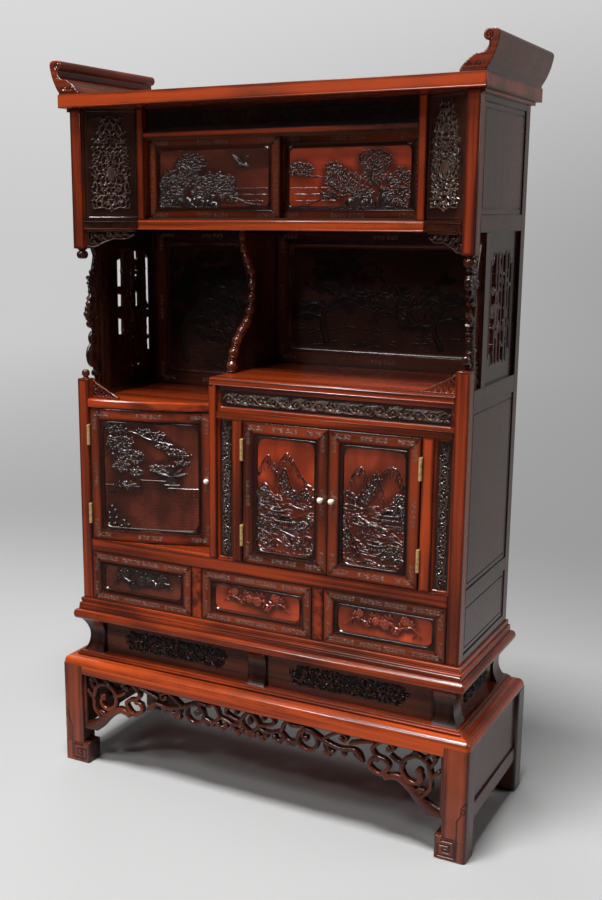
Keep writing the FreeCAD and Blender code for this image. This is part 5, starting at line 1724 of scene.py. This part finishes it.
def leaf_field(art, middle, bottom, top, reach):
    """Crowded S-shaped leaves mirrored about a bud, over a cusped border and narrowing to the top."""
    gap = 10.5
    bud = bottom + 0.4 * (top - bottom)
    knee = bottom + 0.66 * (top - bottom)
    for row, level in enumerate(np.arange(bottom + 12, top, 0.9 * gap)):
        limit = reach * (1 - 0.55 * max(0, (level - knee) / (top - knee)))
        for offset in np.arange(3.5 + 0.5 * gap * (row % 2), limit, gap):
            spot = np.array((offset + chance.uniform(-2, 2), level + chance.uniform(-2, 2)))
            turn = math.atan2(
                level - bud, offset + 6) + chance.choice((-0.9, 0.9)) + chance.uniform(-0.3, 0.3)
            way = np.array((math.cos(turn), math.sin(turn)))
            aside = chance.choice((-1, 1)) * np.array((-way[1], way[0]))
            stroke = bend(
                spot - 8 * way - 2.4 * aside, spot - 3 * way + 1.6 * aside, spot + 3 * way - 1.6 * aside,
                spot + 8 * way + 2.8 * aside, steps=4)
            for side in (-1, 1):
                art.ridge(stroke * (side, 1) + (middle, 0), 3.2, 1.5, 3.8)
    for side in (-1, 1):
        def at(offset, v):
            return (middle + side * offset, v)

        art.ridge(bend(at(0, bottom + 6), at(8, bottom + 1), at(20, bottom + 5), at(reach - 4, bottom + 3),
                       at(reach, bottom + 12)), 2.8, 2.4, 3)
        art.ridge(bend(at(0, bottom + 6), at(4, bottom + 13), at(12, bottom + 8)), 2.6, 2.2, 3)
        art.ridge(bend(at(0, bottom - 4), at(4, bottom), at(0, bottom + 5)), 2.4, 2.2, 3)
    art.boss((middle, bud), 11, 4.6, 1.5)
    art.ridge(curl((middle, bud), 11, 11, 0, 360), 2.2, 2.2, 3.4)
    art.leaf((middle, bud - 4), (middle, bud + 14), 10, 5)


canted = Stock()
cant_run, cant_setback, cant_tall = 108, 71, 256.0
cant_left, cant_front, cant_bottom = 470, -166, 1389
cant_wide, slope = math.hypot(cant_run, cant_setback), cant_setback / cant_run
share = 1 / math.hypot(1, slope)
line_inset, line_low, line_top = 7, 6, 250
for side in (-1, 1):
    cant_art = Carving(cant_wide, cant_tall, 0.88, full=4.0)
    leaf_field(cant_art, 0.49 * cant_wide, 24, 236, 44)
    line_right = cant_wide - line_inset
    cant_art.ridge(
        [(line_inset, line_low), (line_inset, line_top), (line_right, line_top), (line_right, line_low),
         (line_inset, line_low)], 1.6, 1.6, 0.9)

    def on_cant(u, v, rise):
        run = u if side < 0 else cant_wide - u
        x = side * (cant_left - run * share) - side * rise * slope * share
        y = cant_front + run * slope * share - rise * share
        return x * mm, y * mm, (cant_bottom + v) * mm

    canted.add(*cant_art.sheet(on_cant, 8), along=2)
canted.make("canted_carvings", "carcase", highlit_pale_carving, "carved_rosewood", ["canted_panels"], smooth=60)
upper_frieze_wide, upper_frieze_tall = 687.2, 55
upper_frieze_art = Carving(upper_frieze_wide, upper_frieze_tall, 1.2, full=3.0)
vine(upper_frieze_art, 8, 679, 27, 10, 76, 4, 1.6, 1.0)
vine(upper_frieze_art, 26, 679, 27, -11, 62, 3, 1.4, 1.0)
upper_frieze_place = facing_front(-upper_frieze_wide / 2 * mm, -92 * mm, 1590 * mm)
# The upper frieze lies in the slab's shadow and is drawn near-black as painted shade.
carved_piece(
    "upper_frieze_carving", "carcase", dark_and_shaded_carving, upper_frieze_art.sheet(upper_frieze_place, 6), along=0)


def rocks(art, left, right, bottom, tall, count, rise=3.6):
    """A heap of weathered rocks."""
    for _ in range(count):
        spot = (chance.uniform(left, right), bottom + chance.uniform(0.1, 0.6) * tall)
        art.boss(
            spot, chance.uniform(0.28, 0.5) * tall, rise, chance.uniform(0.7, 1.1), 5, 0.3,
            chance.uniform(0, 2))


slider_stile, slider_recess, slider_reach, slider_corner = 22, 4, 9, 11
slider_section = ((0, -0.2), (0.2, -0.3), (0.3, -1.6), (0.44, -1.7), (0.58, -0.7), (0.76, -0.9), (1, -3.9))
for slider, finish, flip in (("left_slider", dark_carving, False), ("right_slider", red_carving, True)):
    low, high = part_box(slider + "_frame")
    wide, tall = (high.x - low.x) / mm, (high.z - low.z) / mm
    boards(slider + "_members", slider + "_frame", frame_wood, 0.5 * mm)
    lip_and_inlay(
        slider, facing_front(low.x, low.y, low.z), wide, tall, slider_stile, slider_reach, slider_corner,
        slider_section, 44, 40)
    open_wide, open_tall = wide - 2 * slider_stile, tall - 2 * slider_stile
    lake = Carving(open_wide, open_tall, 0.9, full=3.6, shade_reach=18)

    def at(share_u, share_v):
        return ((1 - share_u if flip else share_u) * open_wide, share_v * open_tall)

    lake.ridge(bend(at(0.27, 0.08), at(0.25, 0.3), at(0.33, 0.5), at(0.3, 0.66)), 9, 5, 3.2)
    lake.ridge(bend(at(0.42, 0.1), at(0.46, 0.24), at(0.54, 0.36)), 6, 3, 3)
    for share_u, share_v, crown_wide, crown_tall in (
            (0.11, 0.4, 0.2, 0.4), (0.1, 0.16, 0.2, 0.26), (0.3, 0.72, 0.26, 0.34), (0.3, 0.48, 0.22, 0.24),
            (0.54, 0.42, 0.3, 0.32), (0.4, 0.26, 0.2, 0.22), (0.62, 0.24, 0.2, 0.18),
            (0.2, 0.26, 0.14, 0.2)):
        foliage(lake, at(share_u, share_v), crown_wide * open_wide, crown_tall * open_tall, 3.4)
    rocks(lake, *sorted((at(0.14, 0)[0], at(0.52, 0)[0])), 0.04 * open_tall, 0.26 * open_tall, 9, 3)
    bank(lake, [at(0.5, 0.22), at(0.66, 0.2), at(0.8, 0.1), at(0.9, 0.08)], 6, 2.4)
    water(lake, *sorted((at(0.6, 0)[0], at(0.96, 0)[0])), 0.14 * open_tall, 0.34 * open_tall, 14, 0.8)
    if flip:
        bank(lake, [at(0.98, 0.6), at(0.84, 0.52), at(0.7, 0.5), at(0.56, 0.52)], 5, 2.4)
        for share_u in (0.92, 0.84, 0.62):
            foliage(lake, at(share_u, 0.62), 0.12 * open_wide, 0.2 * open_tall, 2.8)
    else:
        for wing in (-1, 1):
            lake.leaf(at(0.74, 0.72), at(0.74 + 0.07 * wing, 0.86), 9, 2.8)
        lake.leaf(at(0.7, 0.7), at(0.79, 0.72), 8, 3)
        lake.leaf(at(0.77, 0.72), at(0.82, 0.64), 6, 2.6)
    ground = facing_front(low.x + slider_stile * mm, low.y + slider_recess * mm, low.z + slider_stile * mm)
    carved_piece(slider + "_carving", slider, finish, lake.sheet(ground, 5), [slider + "_panel"], along=0)

# Top.
# A thick slab of rosewood with thin fillets under its ends and back, and an upturned scroll tenoned along
# each end, carved with small curls at its foot.
slab_low, slab_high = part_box("top_slab")
slab = Stock()
for corners, faces in solids("top_slab"):
    slab.add(*eased(corners, faces, 1.6 * mm, 0.3), along=0)
slab_front = slab_low.y + 0.6 * mm
slab_bead = slab_low.z + 2.4 * mm
rod(slab, [(slab_low.x + 2 * mm, slab_front, slab_bead), (slab_high.x - 2 * mm, slab_front, slab_bead)],
    1.8 * mm, (0, -1, 0))
slab.make("top_slab_board", "carcase", post_wood, "rosewood", ["top_slab"])
boards("cornice_strips", "cornice_fillets", ease=0.8 * mm)


def end_outline(corners, faces):
    """The outline of a solid's front end, as x and z in order round it."""
    front = min(corner[1] for corner in corners) + 0.01 * mm
    edges = set()
    for face in faces:
        if all(corners[index][1] < front for index in face):
            for edge in zip(face, face[1:] + face[:1]):
                edges ^= {edge} if edge[::-1] not in edges else {edge[::-1]}
    following = dict(edges)
    order = [next(iter(sorted(following)))]
    while following[order[-1]] != order[0]:
        order.append(following[order[-1]])
    return np.array([(corners[index][0], corners[index][2]) for index in order])


scroll_face, scroll_step = 4, 0.7
scrolls = Stock()
for side, (corners, faces) in zip((-1, 1), solids("scroll_ends")):
    outline = end_outline(corners, faces)
    front, back = min(corner[1] for corner in corners), max(corner[1] for corner in corners)
    count = len(outline)
    body = [[(x, y, z) for x, z in outline] for y in (front + scroll_face * mm, back - scroll_face * mm)]
    # The scroll bodies are given a low raised value, so the finish draws them darker all over: painted shade.
    scrolls.add(*skinned(body), raised=np.full(2 * count, 0.4), along=1)
    flat = np.abs(outline / mm - (0, slab_high.z / mm))
    low_u, high_u, high_v = flat[:, 0].min(), flat[:, 0].max(), flat[:, 1].max()
    face = Carving(high_u - low_u + 2, high_v + 2, scroll_step, low_u - 1, -1)
    face.rise[:] = face.full = 2.0
    gap, turning = np.full_like(face.u, 1e3), np.zeros_like(face.u)
    for (u0, v0), (u1, v1) in zip(flat, np.roll(flat, -1, axis=0)):
        share = np.clip(((face.u - u0) * (u1 - u0) + (face.v - v0) * (v1 - v0))
                        / ((u1 - u0) ** 2 + (v1 - v0) ** 2), 0, 1)
        gap = np.minimum(gap, np.hypot(face.u - u0 - share * (u1 - u0), face.v - v0 - share * (v1 - v0)))
        turn = np.arctan2(v1 - face.v, u1 - face.u) - np.arctan2(v0 - face.v, u0 - face.u)
        turning += (turn + np.pi) % (2 * np.pi) - np.pi
    face.inside = np.where(np.abs(turning) > np.pi, gap, -gap)
    curl_u, curl_v = high_u - 22, high_v - 11
    face.ridge(curl((curl_u, curl_v), 8.2, 1.2, -80, 470), 2.4, 1.8, 1.7, groove=True)
    face.ridge(
        bend((curl_u + 1, curl_v - 8), (curl_u + 4, curl_v - 16), (curl_u + 1, curl_v - 30)), 2.2, 1.2, 1.4,
        groove=True)
    for spot_u, way in ((low_u + 17, 1), (low_u + 38, -1)):
        face.ridge(curl((spot_u, 13), 6, 1.2, -90 + 60 * way, -90 + 480 * way), 1.8, 1.4, 1.4, groove=True)
    face.ridge([(low_u, 5), (high_u, 5)], 2.0, 2.0, 1.5, groove=True)
    face.rise -= 2 - np.sqrt(np.clip(4 - np.clip(2 - face.inside, 0, 2) ** 2, 0, 4))
    for y, out in ((front, -1), (back, 1)):
        def on_end(u, v, rise):
            return side * u * mm, y - out * (2 - rise) * mm, slab_high.z + v * mm

        cut, cut_faces, raised = face.sheet(on_end, scroll_face - 2, pierced=True)
        if side * out > 0:
            cut_faces = [one[::-1] for one in cut_faces]
        scrolls.add(cut, cut_faces, raised, along=0)
scrolls.make("scroll_end_boards", "carcase", frame_wood, "rosewood", ["scroll_ends"], smooth=30)

# Studio.
# A pale paper floor that sweeps up into a backdrop, soft lights above, in front and at the sides, and the
# camera at the photograph's angle. The far floor and the backdrop glow only for the camera and in gloss.
sweep_radius = 1.2
floor_back = 8.0
rows = [(-12.0, 0.0)] + [
    (floor_back + sweep_radius * math.sin(turn), sweep_radius * (1 - math.cos(turn)))
    for turn in np.linspace(0, math.pi / 2, 24)] + [(floor_back + sweep_radius, 16.0)]
paper = bpy.data.meshes.new("studio_paper")
paper.from_pydata(
    [(side * 25.0, y, z) for y, z in rows for side in (-1, 1)], [],
    [(2 * i, 2 * i + 1, 2 * i + 3, 2 * i + 2) for i in range(len(rows) - 1)])
paper.shade_smooth()
sweep_sheet = bpy.data.objects.new("studio_paper", paper)
bpy.context.scene.collection.objects.link(sweep_sheet)
paper_material = bpy.data.materials.new("studio_paper")
paper_material.use_nodes = True
paper_tree = paper_material.node_tree
paper_shader = paper_tree.nodes["Principled BSDF"]
feed(paper_shader, Roughness=0.9, Specular_IOR_Level=0.1)
paper_start = Shade(paper_tree)
position = paper_start.node("NewGeometry", {}, {}, 0)
across_paper, depth_paper, height_paper = (
    position.node("SeparateXYZ", {}, {0: position}, axis) for axis in range(3))
ray = paper_start.node("LightPath", {}, {}, "Is Camera Ray")
gloss_ray = paper_start.node("LightPath", {}, {}, "Is Glossy Ray")
# Glossy rays see the floor in front drawn dark: painted shade in the reflections on the front faces.
front_floor_dark_in_gloss = depth_paper.between(-0.7, -0.25).mix((0.05, 0.05, 0.05, 1), (0.26, 0.26, 0.26, 1))
feed(paper_shader, Base_Color=gloss_ray.mix((0.41, 0.41, 0.41, 1), front_floor_dark_in_gloss))
shade_side = (across_paper.between(-8.0, 2.0) * 0.7 + 0.3) * (1 - height_paper.between(0.6, 5.0))
mirrored = height_paper.between(1.8, 6.0).mix((0.22, 0.21, 0.2, 1), (0.15, 0.14, 0.14, 1))
backdrop = shade_side.mix((0.72, 0.72, 0.72, 1), (0.3, 0.3, 0.3, 1))
glow = paper_start.node("Emission", {}, {
    "Color": gloss_ray.mix(backdrop, mirrored), "Strength": 1.0})
far_off = position.node("VectorMath", {"operation": "LENGTH"}, {0: position}, "Value").between(2.4, 4.5)
behind = depth_paper.between(0.5, 2.6)
lit = paper_start.node(
    "MixShader", {}, {0: (behind + far_off - behind * far_off) * ray + behind * gloss_ray})
paper_tree.links.new(paper_shader.outputs[0], lit.socket.node.inputs[1])
paper_tree.links.new(glow.socket, lit.socket.node.inputs[2])
paper_tree.links.new(lit.socket, paper_tree.nodes["Material Output"].inputs["Surface"])
paper.materials.append(paper_material)


def soft_light(name, place, aim, size, watts):
    lamp = bpy.data.lights.new(name, "AREA")
    lamp.shape = "RECTANGLE"
    lamp.size, lamp.size_y = size
    lamp.energy = watts
    holder = bpy.data.objects.new(name, lamp)
    holder.location = place
    holder.rotation_euler = (Vector(aim) - Vector(place)).to_track_quat("-Z", "Y").to_euler()
    bpy.context.scene.collection.objects.link(holder)


soft_light("high_left", (-0.8, -3.6, 4.9), (0, 0, 0.9), (1.5, 1.0), 75)
soft_light("above", (0.0, -1.6, 6.6), (0.0, -0.3, 0.4), (2.0, 1.5), 600)
soft_light("low_front", (-1.6, -3.6, 3.3), (0, 0, 1.2), (0.5, 0.5), 34)
soft_light("right_fill", (3.6, 1.2, 2.4), (0, 0, 1.0), (1.5, 1.5), 22)
soft_light("left_fill", (-3.4, 0.6, 3.0), (0, 0, 0.9), (1.5, 1.5), 16)
soft_light("back_fill", (-1.6, 2.4, 5.6), (0, 0, 1.0), (1.5, 1.5), 45)

world = bpy.data.worlds.new("studio")
bpy.context.scene.world = world
world.use_nodes = True
sky = Shade(world.node_tree)
seen = sky.node("LightPath", {}, {}, "Is Camera Ray")
feed(
    world.node_tree.nodes["Background"], Color=seen.mix((0.012, 0.012, 0.012, 1), (0.6, 0.6, 0.6, 1)),
    Strength=1.0)
bpy.context.scene.view_settings.view_transform = "Standard"

camera = bpy.data.cameras.new("camera")
camera.lens = 46.94
camera.sensor_width = 36
camera.shift_x = 0.0609
camera.shift_y = 0.0156
view = bpy.data.objects.new("camera", camera)
view.location = (1.2491, -2.4976, 1.4088)
view.rotation_euler = (math.radians(77.849), 0, math.radians(28.764))
bpy.context.scene.collection.objects.link(view)
bpy.context.scene.camera = view
